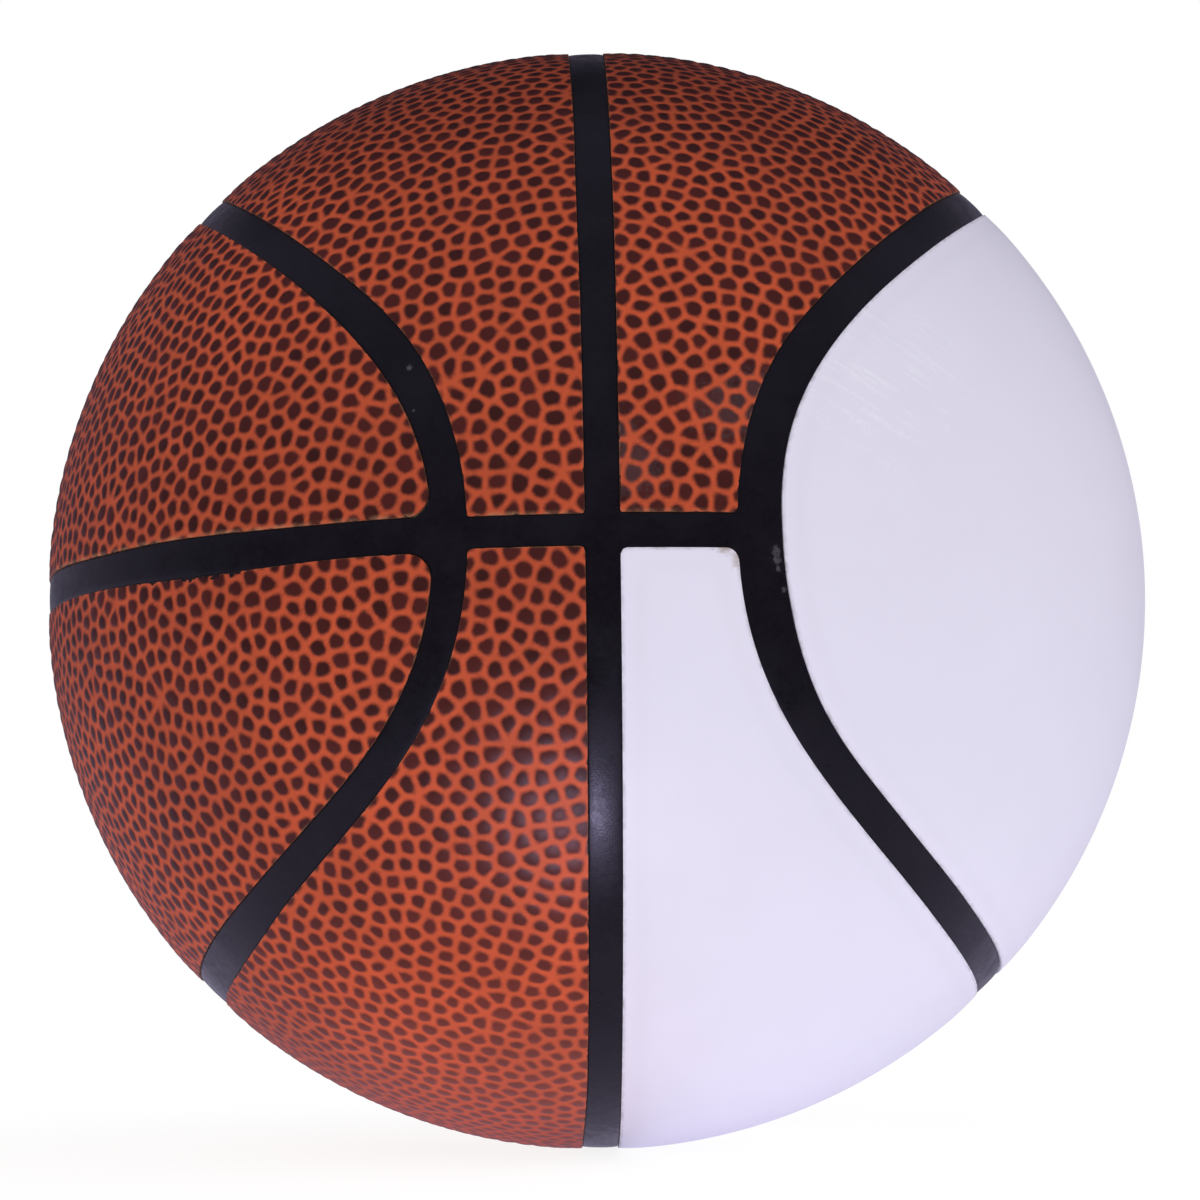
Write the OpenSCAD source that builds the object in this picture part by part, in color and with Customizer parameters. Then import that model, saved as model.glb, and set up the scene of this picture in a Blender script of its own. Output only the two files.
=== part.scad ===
// Laminated basketball, full size, built in layers from the inside out: a bladder with its valve,
// a wound thread layer, a rubber carcass whose raised ribs show as the black channels, and seven
// cover panels on backing sheets. The origin is the centre of the ball and +Z is up. The channels
// lie in the planes x = 0 and z = 0 and along one loop round each end of the X axis. The front
// crossing of the channels points along -Y, and the valve is on the back.

/* [Ball] */
// Radius over the crowns of the cover panels
ball_r = 119.25; // [114:0.25:124]
// Thickness of the cover skin over the middle of a panel
skin_t = 1.1; // [0.95:0.05:1.5]
// Thickness of the backing sheet under the skin
backing_t = 0.7; // [0.5:0.05:1.2]
// Thickness of the carcass under the panels
carcass_t = 1.0; // [0.8:0.05:2]
// Thickness of the wound thread layer
winding_t = 0.4; // [0.3:0.05:1]
// Wall of the bladder
bladder_t = 0.8; // [0.6:0.05:1.6]
// Film of cement between two bonded layers
film_t = 0.05; // [0.03:0.01:0.1]

/* [Channels] */
// Width of the two straight channels
channel_w = 6.4; // [5:0.1:8]
// Width of the two loop channels
loop_w = 7.2; // [5:0.1:9]
// Depth of the channel floor under the crowns
channel_depth = 1.05; // [0.9:0.05:1.2]
// Gap between a rib and the edge of a panel
rib_gap = 0.1; // [0.05:0.01:0.2]
// Angle at the ball's centre from the upright channel to a loop where the loop is nearest to it
loop_near = 13.9; // [12:0.1:18]
// Angle at the ball's centre from the upright channel to a loop at its top and bottom
loop_far = 44.5; // [40:0.5:50]
// How long the loop stays close to the upright channel: a small value turns away early
loop_waist = 0.42; // [0.35:0.01:0.7]
// How sharply the loop turns away
loop_power = 2.26; // [2:0.02:2.6]

/* [Panel edges] */
// How far the edge of a panel is rolled down under the crown
edge_drop = 0.6; // [0.4:0.05:0.7]
// Width of the rolled margin of a panel
edge_roll = 10; // [7:0.5:11]
// Corner radius of the two half ovals
oval_corner_r = 5; // [2:0.5:7]
// Corner radius of the four band panels
band_corner_r = 1.2; // [0.6:0.1:2.5]

/* [Valve] */
// Angle from the upright channel to the valve, on the back
valve_side = 10; // [9:0.5:11]
// Height of the valve over the level channel, as an angle at the ball's centre
valve_rise = 20; // [17:0.5:24]
// Radius of the neck of the valve housing
neck_r = 4; // [3.6:0.1:4.6]
// Gap round the neck in each layer
neck_gap = 0.15; // [0.1:0.05:0.3]
// How far the neck and the plug end under the crowns
neck_sink = 0.4; // [0.2:0.05:0.6]
// Radius of the bonding flange inside the bladder
flange_r = 14; // [11:0.5:18]
// Thickness of the bonding flange
flange_t = 1.5; // [1:0.1:2.5]
// Radius of the boss under the flange
boss_r = 6; // [5.4:0.1:8]
// Length of the boss, measured inwards from the inside of the bladder
boss_len = 15; // [12:0.5:20]
// Radius of the stem of the plug
stem_r = 2.2; // [1.9:0.05:2.4]
// Radius of the head and of the retaining bead of the plug
head_r = 2.9; // [2.7:0.05:3.2]
// Thickness of the head of the plug
head_t = 1.2; // [0.8:0.1:2]
// Length of the retaining bead of the plug
bead_len = 3; // [2:0.25:4]
// Gap between the plug and the housing
plug_gap = 0.05; // [0.03:0.01:0.1]
// Radius of the needle bore
needle_r = 1; // [0.8:0.05:1.3]
// Depth of the needle bore from the face of the plug
needle_depth = 14; // [10:0.5:15]

/* [Hidden] */

// Signs of the two sides and the two levels
left = -1;
right = 1;
upper = 1;
lower = -1;
// Signs of the two sides of a loop channel
band_side = 1;
oval_side = -1;

// Radii of the layers, from the outside inwards
skin_in_r = ball_r - skin_t;
backing_out_r = skin_in_r - film_t;
backing_in_r = backing_out_r - backing_t;
bed_r = backing_in_r - film_t;
carcass_in_r = bed_r - carcass_t;
winding_out_r = carcass_in_r - film_t;
winding_in_r = winding_out_r - winding_t;
bladder_out_r = winding_in_r - film_t;
bladder_in_r = bladder_out_r - bladder_t;
rib_r = ball_r - channel_depth;

// Half widths of the channels between the panels
straight_half = channel_w / 2;
loop_half = loop_w / 2;

// Reach of the cutters: their flat far ends stay outside the ball
reach_share = 1.45;
reach = ball_r * reach_share;
// Distance from the middle plane at which the corner cutters start, as a share of the ball's radius
corner_start_share = 0.5;
corner_start = ball_r * corner_start_share;
// Overrun of every cut past the face that it opens
overrun = 3;
// Steps round a loop, across a rolled margin, and round the ball
loop_steps = 108;
roll_steps = 3;
round_steps = 144;
small_steps = 48;
// Height at which the rolled margin leaves the crown, and the width by which it runs on past the
// panel's edge, which keep those cuts clean
roll_exit = 0.15;
roll_lip = 1.5;
// Overlap of a corner's round cut past the straight edges it joins
corner_relief = 0.02;

// Colours
brown = [0.66, 0.29, 0.17];
white = [0.86, 0.84, 0.91];
black = [0.10, 0.10, 0.11];
cloth = [0.78, 0.72, 0.62];
thread = [0.88, 0.87, 0.82];
butyl = [0.16, 0.16, 0.17];
plug_grey = [0.24, 0.24, 0.25];

// Loop seen from the ball's centre: its angle from the plane x = 0 for a turn phi about the X axis,
// where phi = 0 is the front. The angle is loop_near there and grows to loop_far at the top.
function rise_part(phi) = pow(abs(sin(phi)), loop_power);
function waist_part(phi) = loop_waist * pow(abs(cos(phi)), loop_power);
function loop_angle(phi) =
    loop_near + (loop_far - loop_near) * rise_part(phi) / (rise_part(phi) + waist_part(phi));
function loop_dir(phi) =
    let (a = loop_angle(phi))
    [sin(a), -cos(a) * cos(phi), cos(a) * sin(phi)];

// Unit vector along the ball's surface, square to the loop, pointing away from the +X axis
function unit(v) = v / norm(v);
function loop_away(phi) =
    let (half_step = 180 / loop_steps)
    unit(cross(loop_dir(phi), loop_dir(phi + half_step) - loop_dir(phi - half_step)));

// Angle at the ball's centre of a length laid along the crowns
function arc_angle(length) = length / ball_r * 180 / PI;

// Point beside the loop: away is its distance from the centre line, and r its distance from the origin
function beside_loop(phi, away, r) =
    r * (loop_dir(phi) * cos(arc_angle(away)) + loop_away(phi) * sin(arc_angle(away)));

// Margin of a panel, from its edge inwards: each entry is the distance in from the edge and the depth
// under the crown, and the depth falls off as the square of the distance that is left
margin = [
    for (k = [1:roll_steps])
        let (part = k / roll_steps)
        [edge_roll * part, k == roll_steps ? -roll_exit : edge_drop * pow(1 - part, 2)]
];

// Where the slope of the margin runs on to, past the edge and into the channel
lip = [-roll_lip, edge_drop + roll_lip * (edge_drop - margin[0][1]) / margin[0][0]];
slope = concat([lip], margin);

// Ball about the origin, turned so that its poles lie at the two crossings of the channels and the
// line where its surface closes runs between them over the +X side, across the whole oval
module ball(r) {
    rotate([90, 0, 0])
        sphere(r = r, $fn = round_steps);
}

// Hollow ball between two radii
module shell(out_r, in_r) {
    difference() {
        ball(out_r);
        ball(in_r);
    }
}

// Turns about the X axis at which a loop is cut into flats: none lies on a plane of symmetry
loop_turns = [for (i = [0:loop_steps - 1]) (i + 0.5) * 360 / loop_steps];

// Solid of all rays inside one loop, its wall at the given distance outside the loop's centre line
module loop_cone(side, away) {
    ring = [for (phi = loop_turns) beside_loop(phi, away, reach)];
    points = concat([[0, 0, 0], [reach, 0, 0]], ring);
    faces = [
        for (i = [0:loop_steps - 1])
            let (this = i + 2, next = (i + 1) % loop_steps + 2)
            each [[0, next, this], [1, this, next]]
    ];
    mirror([side == left ? 1 : 0, 0, 0])
        polyhedron(points = points, faces = faces);
}

// Cutter that rolls down the margin on one side of a loop channel: toward is 1 for the band panels
// and -1 for the oval. Its section runs from over the channel to the crown and back down the margin.
module loop_roll(side, toward) {
    half_section = concat(
        [[loop_half - roll_lip, ball_r + overrun]],
        [for (k = [roll_steps:-1:0]) [loop_half + slope[k][0], ball_r - slope[k][1]]]
    );
    n = len(half_section);
    section = [
        for (k = [0:n - 1])
            let (p = half_section[toward > 0 ? k : n - 1 - k])
            [toward * p[0], p[1]]
    ];
    points = [
        for (phi = loop_turns)
            for (s = section)
                beside_loop(phi, s[0], s[1])
    ];
    faces = [
        for (i = [0:loop_steps - 1])
            for (k = [0:n - 1])
                let (
                    a = i * n + k,
                    b = i * n + (k + 1) % n,
                    c = (i + 1) % loop_steps * n + (k + 1) % n,
                    d = (i + 1) % loop_steps * n + k
                )
                each [[a, b, c], [a, c, d]]
    ];
    mirror([side == left ? 1 : 0, 0, 0])
        polyhedron(points = points, faces = faces);
}

// Cutter that rolls down the margins on both sides of the level channel
module straight_roll() {
    edge = [
        for (m = slope)
            let (height = straight_half + m[0])
            [sqrt(pow(ball_r - m[1], 2) - pow(height, 2)), height]
    ];
    below = [for (k = [roll_steps:-1:0]) [edge[k][0], -edge[k][1]]];
    rim = [
        [ball_r + overrun, straight_half + edge_roll],
        [ball_r + overrun, -straight_half - edge_roll]
    ];
    rotate_extrude($fn = round_steps)
        polygon(concat(below, edge, rim));
}

// Cutter for one corner at the origin, of a panel that lies towards +X and +Z, seen along Y
module corner_cut(corner_r) {
    difference() {
        translate([-overrun, -reach, -overrun])
            cube([overrun + corner_r, reach - corner_start, overrun + corner_r]);
        translate([corner_r, 0, corner_r])
            rotate([90, 0, 0])
                cylinder(r = corner_r + corner_relief, h = reach + overrun, $fn = small_steps);
    }
}

// The same cutter set at the front and the back, turned from -Y towards +X by the given angle.
// inward is 1 where the panel lies beyond the corner and -1 where it lies before it.
module corner_pair(side, level, turn, start, inward, edge_z, corner_r) {
    for (back = [0, 1])
        mirror([0, back, 0])
            mirror([side == left ? 1 : 0, 0, 0])
                mirror([0, 0, level == lower ? 1 : 0])
                    rotate([0, 0, turn])
                        translate([start, 0, edge_z])
                            mirror([inward < 0 ? 1 : 0, 0, 0])
                                corner_cut(corner_r);
}

// Ground plan of a band panel, as a solid of rays. grow moves its walls outwards.
module band_plan(side, level, grow) {
    edge = straight_half - grow;
    low = level == upper ? edge : -reach;
    high = level == upper ? reach : -edge;
    difference() {
        translate([side == right ? edge : -reach, -reach, low])
            cube([reach - edge, 2 * reach, high - low]);
        loop_cone(side, loop_half - grow);
        corner_pair(side, level, 0, edge, 1, edge, band_corner_r + grow);
        corner_pair(
            side, level, loop_near - arc_angle(loop_half - grow), 0, -1, edge, band_corner_r + grow
        );
    }
}

// Ground plan of a half oval
module half_oval_plan(side, level, grow) {
    edge = straight_half - grow;
    difference() {
        loop_cone(side, -loop_half + grow);
        translate([-reach, -reach, level == upper ? edge - 2 * reach : -edge])
            cube(2 * reach);
        corner_pair(
            side, level, loop_near + arc_angle(loop_half - grow), 0, 1, edge, oval_corner_r + grow
        );
    }
}

// Ground plan of the whole oval, which no channel crosses
module oval_plan(side, grow) {
    loop_cone(side, -loop_half + grow);
}

// Places its child along the axis of the valve, with +Z pointing out of the ball
module along_valve() {
    rotate([0, 0, valve_side])
        rotate([valve_rise - 90, 0, 0])
            children();
}

// Hole for the neck of the valve, through any layer
module neck_hole() {
    along_valve()
        cylinder(r = neck_r + neck_gap, h = reach, $fn = small_steps);
}

// Valve heights, measured from the ball's centre along the valve's axis
neck_top = ball_r - neck_sink;
boss_end = bladder_in_r - boss_len;
plug_len = neck_top - boss_end;
bead_end = boss_end + bead_len;

module bladder() {
    color(butyl)
        difference() {
            shell(bladder_out_r, bladder_in_r);
            neck_hole();
        }
}

// Moulded housing: a flange bonded inside the bladder, a boss under it, and a neck through the wall
module valve_housing() {
    color(black)
        along_valve()
            difference() {
                union() {
                    translate([0, 0, boss_end])
                        cylinder(r = neck_r, h = plug_len, $fn = small_steps);
                    intersection() {
                        union() {
                            translate([0, 0, boss_end])
                                cylinder(r = boss_r, h = boss_len + flange_t, $fn = small_steps);
                            difference() {
                                cylinder(r = flange_r, h = reach, $fn = small_steps);
                                ball(bladder_in_r - film_t - flange_t);
                            }
                        }
                        ball(bladder_in_r - film_t);
                    }
                }
                plug_shape(plug_gap, overrun);
            }
}

// Outline of the plug, turned about its axis: a head, a stem and a retaining bead at the inner end
module plug_shape(grow, past) {
    rotate_extrude($fn = small_steps)
        polygon([
            [0, boss_end - past],
            [head_r + grow, boss_end - past],
            [head_r + grow, bead_end + grow],
            [stem_r + grow, bead_end + grow],
            [stem_r + grow, neck_top - head_t - grow],
            [head_r + grow, neck_top - head_t - grow],
            [head_r + grow, neck_top + past],
            [0, neck_top + past]
        ]);
}

// Soft plug with the needle bore. Its inner end is closed, as the slit there is when no needle is in
module valve_plug() {
    color(plug_grey)
        along_valve()
            difference() {
                plug_shape(0, 0);
                translate([0, 0, neck_top - needle_depth])
                    cylinder(r = needle_r, h = needle_depth + overrun, $fn = small_steps);
            }
}

module thread_winding() {
    color(thread)
        difference() {
            shell(winding_out_r, winding_in_r);
            neck_hole();
        }
}

// Carcass: a rubber ball with a bed for each panel, which leaves the ribs standing between the beds
module carcass() {
    color(black)
        difference() {
            shell(rib_r, carcass_in_r);
            difference() {
                all_plans(rib_gap);
                ball(bed_r);
            }
            neck_hole();
        }
}

module all_plans(grow) {
    for (level = [lower, upper]) {
        band_plan(left, level, grow);
        band_plan(right, level, grow);
        half_oval_plan(left, level, grow);
    }
    oval_plan(right, grow);
}

// Cover skin on one ground plan, with its margins rolled down along the channels that it meets
module skin(side, toward, along_upright, along_level) {
    difference() {
        intersection() {
            shell(ball_r, skin_in_r);
            children();
        }
        loop_roll(side, toward);
        if (along_upright)
            rotate([0, 90, 0])
                straight_roll();
        if (along_level)
            straight_roll();
    }
}

// Backing sheet on one ground plan
module backing() {
    intersection() {
        shell(backing_out_r, backing_in_r);
        children();
    }
}

module band_cover(side, level) {
    skin(side, band_side, true, true)
        band_plan(side, level, 0);
}

module band_backing(side, level) {
    backing()
        band_plan(side, level, 0);
}

module backing_band_upper_left() {
    color(cloth)
        difference() {
            band_backing(left, upper);
            neck_hole();
        }
}

module backing_band_upper_right() {
    color(cloth)
        band_backing(right, upper);
}

module backing_band_lower_left() {
    color(cloth)
        band_backing(left, lower);
}

module backing_band_lower_right() {
    color(cloth)
        band_backing(right, lower);
}

module backing_oval_left_upper() {
    color(cloth)
        backing()
            half_oval_plan(left, upper, 0);
}

module backing_oval_left_lower() {
    color(cloth)
        backing()
            half_oval_plan(left, lower, 0);
}

module backing_oval_right() {
    color(cloth)
        backing()
            oval_plan(right, 0);
}

module cover_band_upper_left() {
    color(brown)
        difference() {
            band_cover(left, upper);
            neck_hole();
        }
}

module cover_band_upper_right() {
    color(brown)
        band_cover(right, upper);
}

module cover_band_lower_left() {
    color(brown)
        band_cover(left, lower);
}

module cover_band_lower_right() {
    color(white)
        band_cover(right, lower);
}

module cover_oval_left_upper() {
    color(brown)
        skin(left, oval_side, false, true)
            half_oval_plan(left, upper, 0);
}

module cover_oval_left_lower() {
    color(brown)
        skin(left, oval_side, false, true)
            half_oval_plan(left, lower, 0);
}

module cover_oval_right() {
    color(white)
        skin(right, oval_side, false, false)
            oval_plan(right, 0);
}

bladder();
valve_housing();
valve_plug();
thread_winding();
carcass();
backing_band_upper_left();
backing_band_upper_right();
backing_band_lower_left();
backing_band_lower_right();
backing_oval_left_upper();
backing_oval_left_lower();
backing_oval_right();
cover_band_upper_left();
cover_band_upper_right();
cover_band_lower_left();
cover_band_lower_right();
cover_oval_left_upper();
cover_oval_left_lower();
cover_oval_right();
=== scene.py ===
"""Looks of a laminated basketball: cover panels, black channel ribs, inner layers, valve and stage."""

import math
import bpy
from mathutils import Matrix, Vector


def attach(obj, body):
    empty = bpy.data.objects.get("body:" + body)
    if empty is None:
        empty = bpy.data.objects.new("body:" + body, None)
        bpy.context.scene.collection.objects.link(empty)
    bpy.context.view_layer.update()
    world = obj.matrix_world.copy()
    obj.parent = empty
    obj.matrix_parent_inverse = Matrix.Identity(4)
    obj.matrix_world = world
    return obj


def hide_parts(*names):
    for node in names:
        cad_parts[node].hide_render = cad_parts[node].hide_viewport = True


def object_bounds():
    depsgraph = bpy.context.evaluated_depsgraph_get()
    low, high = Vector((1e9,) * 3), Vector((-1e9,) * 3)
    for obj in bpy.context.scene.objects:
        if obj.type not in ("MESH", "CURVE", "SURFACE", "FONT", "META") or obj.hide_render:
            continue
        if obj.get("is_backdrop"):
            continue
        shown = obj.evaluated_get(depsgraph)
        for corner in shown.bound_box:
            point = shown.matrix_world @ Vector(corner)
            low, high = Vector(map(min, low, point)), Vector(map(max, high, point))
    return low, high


bl_info = {
    "name": "Laminated Basketball",
    "version": (1, 0, 0),
    "blender": (4, 5, 0),
    "location": "View3D > Sidebar > Basketball",
    "description": "Builds the cover panels, the ribbed carcass, the finishes and the stage of a basketball",
    "category": "Add Mesh",
}

import bpy
import numpy as np
from bpy.props import FloatProperty, FloatVectorProperty, IntProperty, PointerProperty
from mathutils import Matrix, Vector

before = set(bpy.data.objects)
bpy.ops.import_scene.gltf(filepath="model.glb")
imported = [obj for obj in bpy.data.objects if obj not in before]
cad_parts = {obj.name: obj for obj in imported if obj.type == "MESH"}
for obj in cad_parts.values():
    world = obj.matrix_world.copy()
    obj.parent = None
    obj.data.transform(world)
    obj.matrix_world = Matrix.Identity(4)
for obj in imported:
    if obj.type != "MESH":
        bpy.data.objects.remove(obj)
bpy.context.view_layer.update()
LEFT, RIGHT, UPPER, LOWER = -1, 1, 1, -1  # Signs of x and of z on a side and on a level of the ball


# ---- Settings a user would change ----


class BallShape(bpy.types.PropertyGroup):
    """Sizes of the cover and the channels, as the photograph shows them"""

    crown: FloatProperty(
        name="Crown radius", description="Radius over the tops of the pebbles", default=0.11925, unit="LENGTH"
    )
    skin: FloatProperty(
        name="Skin thickness", description="Thickness of the cover skin", default=0.0011, unit="LENGTH"
    )
    rib: FloatProperty(
        name="Rib radius", description="Radius over the ribs of the carcass", default=0.1188, unit="LENGTH"
    )
    bed: FloatProperty(
        name="Bed radius", description="Radius of the beds under the panels", default=0.11735, unit="LENGTH"
    )
    inside: FloatProperty(
        name="Inner radius", description="Radius of the inside of the carcass", default=0.11635, unit="LENGTH"
    )
    drop: FloatProperty(
        name="Edge drop", description="How far a panel's edge is rolled down", default=0.00025, unit="LENGTH"
    )
    roll: FloatProperty(
        name="Edge roll", description="Width of the rolled margin", default=0.008, unit="LENGTH"
    )
    near: FloatProperty(
        name="Loop near", description="Angle of a loop from the upright channel at its waist",
        default=math.radians(13.9), subtype="ANGLE",
    )
    far: FloatProperty(
        name="Loop far", description="Angle of a loop from the upright channel at its top",
        default=math.radians(44.5), subtype="ANGLE",
    )
    waist: FloatProperty(
        name="Loop waist", description="How long a loop stays near the upright channel", default=0.42
    )
    power: FloatProperty(
        name="Loop power", description="How sharply a loop turns away", default=2.26
    )
    oval_corner: FloatProperty(
        name="Oval corner", description="Corner radius of the half ovals", default=0.005, unit="LENGTH"
    )


class PebbleGrain(bpy.types.PropertyGroup):
    """The embossed pebbles of the brown panels"""

    pitch: FloatProperty(
        name="Pitch", description="Mean distance between two pebbles", default=0.00427, unit="LENGTH"
    )
    unrest: FloatProperty(
        name="Unrest", description="Share of the pitch by which pebbles stray from an even grid", default=0.38
    )
    relief: FloatProperty(
        name="Relief", description="Height of a pebble over the net", default=0.00022, unit="LENGTH"
    )
    net: FloatProperty(
        name="Net width", description="Width of the net between two pebbles", default=0.00115, unit="LENGTH"
    )
    seed: IntProperty(name="Seed", description="Start value of the pattern", default=7)


class BallColours(bpy.types.PropertyGroup):
    """Colours of the finishes"""

    net: FloatVectorProperty(
        name="Net", description="Colour of the net between the pebbles", subtype="COLOR", size=3,
        default=(0.450, 0.065, 0.0205),
    )
    pebble: FloatVectorProperty(
        name="Pebble", description="Colour of the pebbles", subtype="COLOR", size=3,
        default=(0.050, 0.0060, 0.0045),
    )
    edge: FloatVectorProperty(
        name="Cut edge", description="Colour of the cut edge of a brown panel", subtype="COLOR", size=3,
        default=(0.36, 0.18, 0.095),
    )
    white: FloatVectorProperty(
        name="White", description="Colour of the white panels", subtype="COLOR", size=3,
        default=(0.72, 0.69, 0.83),
    )
    rubber: FloatVectorProperty(
        name="Channel rubber", description="Colour of the carcass and its ribs", subtype="COLOR", size=3,
        default=(0.0065, 0.0053, 0.0088),
    )


class StageSettings(bpy.types.PropertyGroup):
    """Camera, lamps and floor"""

    distance: FloatProperty(
        name="Camera distance", description="From the lens to the ball's centre", default=0.7227, unit="LENGTH"
    )
    azimuth: FloatProperty(
        name="Azimuth", description="Turn of the camera round the ball",
        default=math.radians(-0.694), subtype="ANGLE",
    )
    elevation: FloatProperty(
        name="Elevation", description="Height of the camera as an angle",
        default=math.radians(-6.017), subtype="ANGLE",
    )
    roll: FloatProperty(
        name="Roll", description="Roll of the camera about its axis",
        default=math.radians(0.758), subtype="ANGLE",
    )
    lens: FloatProperty(name="Lens", description="Focal length in millimetres", default=98.4)
    fill: FloatProperty(name="Fill light", description="Strength of the light from all round", default=1.03)
    near_side: FloatProperty(
        name="Near side", description="Strength at which the side behind the camera is mirrored", default=0.04
    )
    side: FloatProperty(
        name="Sides", description="Strength at which the room beside and above the ball is mirrored", default=0.33
    )
    overhead: FloatProperty(
        name="Overhead", description="Share of the fill that comes from above and behind", default=0.35
    )
    table: FloatProperty(name="Table light", description="Power of the glow of the floor", default=2.7, unit="POWER")
    glint: FloatProperty(name="Glint", description="Power of the small low lamp", default=0.074, unit="POWER")
    sheen: FloatProperty(name="Sheen", description="Power of the wider low lamp", default=0.052, unit="POWER")


SETTINGS = {
    "ball_shape": BallShape,
    "ball_grain": PebbleGrain,
    "ball_colours": BallColours,
    "ball_stage": StageSettings,
}

GLOSS_TINT = (0.77, 0.70, 1.0)  # Colour of everything that the glossy surfaces mirror


# ---- Lines on the ball ----


FOOT_STEPS = 5  # Steps towards the foot of the perpendicular on a loop
FOOT_REACH = 0.2  # Longest of these steps, in radians of turn


def unit(v):
    """Vectors divided by their own lengths."""
    return v / np.linalg.norm(v, axis=-1, keepdims=True)


def on_ball(lean, turn):
    """Points on the ball of radius one: the lean from the plane x = 0, the turn from the front over the top."""
    return np.stack([np.sin(lean), -np.cos(lean) * np.cos(turn), np.cos(lean) * np.sin(turn)], -1)


def turn_of(points):
    """Turn of points from the front over the top."""
    return np.arctan2(points[..., 2], -points[..., 1])


def around_of(points):
    """Angle of points from the front towards the side."""
    return np.arctan2(points[..., 0], -points[..., 1])


def loop_line(turn, shape):
    """Points of the loop's centre line on a ball of radius one.

    The lean from the plane x = 0 goes from near to far as rise / (rise + waist * rest), where rise is the sine of the
    turn and rest its cosine, both without sign and raised to the loop's power.
    """
    rise = np.abs(np.sin(turn)) ** shape.power
    rest = shape.waist * np.abs(np.cos(turn)) ** shape.power
    return on_ball(shape.near + (shape.far - shape.near) * rise / (rise + rest), turn)


def loop_along(turn, shape):
    """Change of the loop's centre line for one radian of turn, from two points close by."""
    close = 1e-3
    return (loop_line(turn + close, shape) - loop_line(turn - close, shape)) / (2 * close)


def loop_outward(turn, shape):
    """The loop's points, and at each the direction square to the line, towards the upright channel."""
    line = loop_line(turn, shape)
    return line, unit(np.cross(line, loop_along(turn, shape)))


def beside_loop(turn, away, shape):
    """Points at a distance beside the loop, positive towards the upright channel: a turn of the line's own point
    about its tangent by the distance over the crown radius."""
    line, outward = loop_outward(turn, shape)
    angle = (away / shape.crown)[..., None]
    return line * np.cos(angle) + outward * np.sin(angle)


def from_loop(points, shape):
    """Signed distance of each point from the loop's centre line, and the turn of the nearest point on that line,
    found by stepping along the tangent towards the foot of the perpendicular."""
    turn = turn_of(points)
    for _ in range(FOOT_STEPS):
        along = loop_along(turn, shape)
        miss = np.sum((points - loop_line(turn, shape)) * along, -1) / np.sum(along * along, -1)
        turn = turn + np.clip(miss, -FOOT_REACH, FOOT_REACH)
    _, outward = loop_outward(turn, shape)
    away = shape.crown * np.arcsin(np.clip(np.sum(points * outward, -1), -1, 1))
    return away, turn


def smooth_table(knots):
    """Values at every degree of a full turn from (degrees, millimetres) knots, averaged over 9 degrees."""
    degrees, sizes = np.array(knots, float).T
    table = np.interp(np.arange(-180, 180), degrees, sizes, period=360)
    return np.mean([np.roll(table, k) for k in range(-4, 5)], 0) / 1000


# Half widths of the channels, measured on the ball: (turn from the front in degrees, millimetres)
OVAL_EDGE = {
    LEFT: smooth_table(
        [(-180, 3.6), (-80, 3.8), (-60, 3.6), (-45, 3.7), (-35, 4.0), (-28, 3.7), (-19, 2.9), (-12, 3.0), (0, 3.5)]
        + [(12, 3.6), (20, 4.1), (27, 4.3), (35, 4.15), (45, 3.8), (55, 3.65), (90, 3.7)]
    ),
    RIGHT: smooth_table(
        [(-180, 3.6), (-80, 2.8), (-60, 2.2), (-50, 2.3), (-43, 2.9), (-35, 3.5), (-28, 4.0), (-21, 3.7), (-15, 4.2)]
        + [(-10, 5.3), (-4, 5.5), (4, 4.9), (10, 4.2), (15, 3.8), (24, 3.7), (35, 3.75), (45, 3.4), (90, 3.4)]
    ),
}
BAND_EDGE = {
    LEFT: smooth_table(
        [(-180, 3.5), (-90, 4.0), (-70, 4.3), (-57, 4.8), (-48, 4.5), (-40, 3.2), (-32, 2.8), (-25, 3.0), (-18, 3.5)]
        + [(0, 3.5), (10, 3.6), (19, 4.2), (26, 3.3), (33, 2.9), (45, 3.35), (90, 3.5)]
    ),
    RIGHT: smooth_table(
        [(-180, 3.7), (-90, 4.6), (-70, 4.8), (-57, 5.1), (-47, 4.8), (-40, 4.1), (-32, 3.4), (-24, 3.2), (-15, 3.6)]
        + [(0, 3.7), (8, 3.9), (17, 4.6), (26, 3.6), (38, 3.8), (48, 4.4), (60, 4.0), (90, 3.7)]
    ),
}
UPRIGHT_EDGE = {
    LEFT: smooth_table(
        [(-180, 3.3), (-90, 4.8), (-75, 4.6), (-62, 3.9), (-45, 3.5), (-10, 3.35), (10, 3.5), (24, 3.7), (33, 4.1)]
        + [(48, 4.3), (62, 4.8), (90, 5.0), (130, 3.6)]
    ),
    RIGHT: smooth_table(
        [(-180, 3.2), (-75, 3.1), (0, 3.2), (28, 3.15), (45, 2.95), (60, 2.7), (90, 2.6), (130, 3.1)]
    ),
}
LEVEL_BAND_EDGE = {(LEFT, UPPER): 0.0038, (LEFT, LOWER): 0.0023, (RIGHT, UPPER): 0.0040, (RIGHT, LOWER): 0.0027}
LEVEL_OVAL_EDGE = {
    UPPER: smooth_table([(0, 4.1), (20, 4.15), (30, 3.8), (45, 4.0), (58, 3.5), (72, 4.0), (90, 3.8), (179, 3.6)]),
    LOWER: smooth_table([(0, 2.8), (24, 2.8), (33, 3.6), (42, 4.1), (50, 3.7), (66, 3.4), (76, 3.8), (179, 3.6)]),
}
# Corner radii of each band panel, beside the upright channel and beside the loop
BAND_CORNERS = {
    (LEFT, UPPER): (0.0006, 0.0005),
    (RIGHT, UPPER): (0.0005, 0.0007),
    (LEFT, LOWER): (0.0010, 0.0010),
    (RIGHT, LOWER): (0.0013, 0.0023),
}


def edge_at(table, turn):
    """Width read from a table of every degree, for turns in radians."""
    return np.interp(np.degrees(turn), np.arange(-180, 180), table, period=360)


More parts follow.
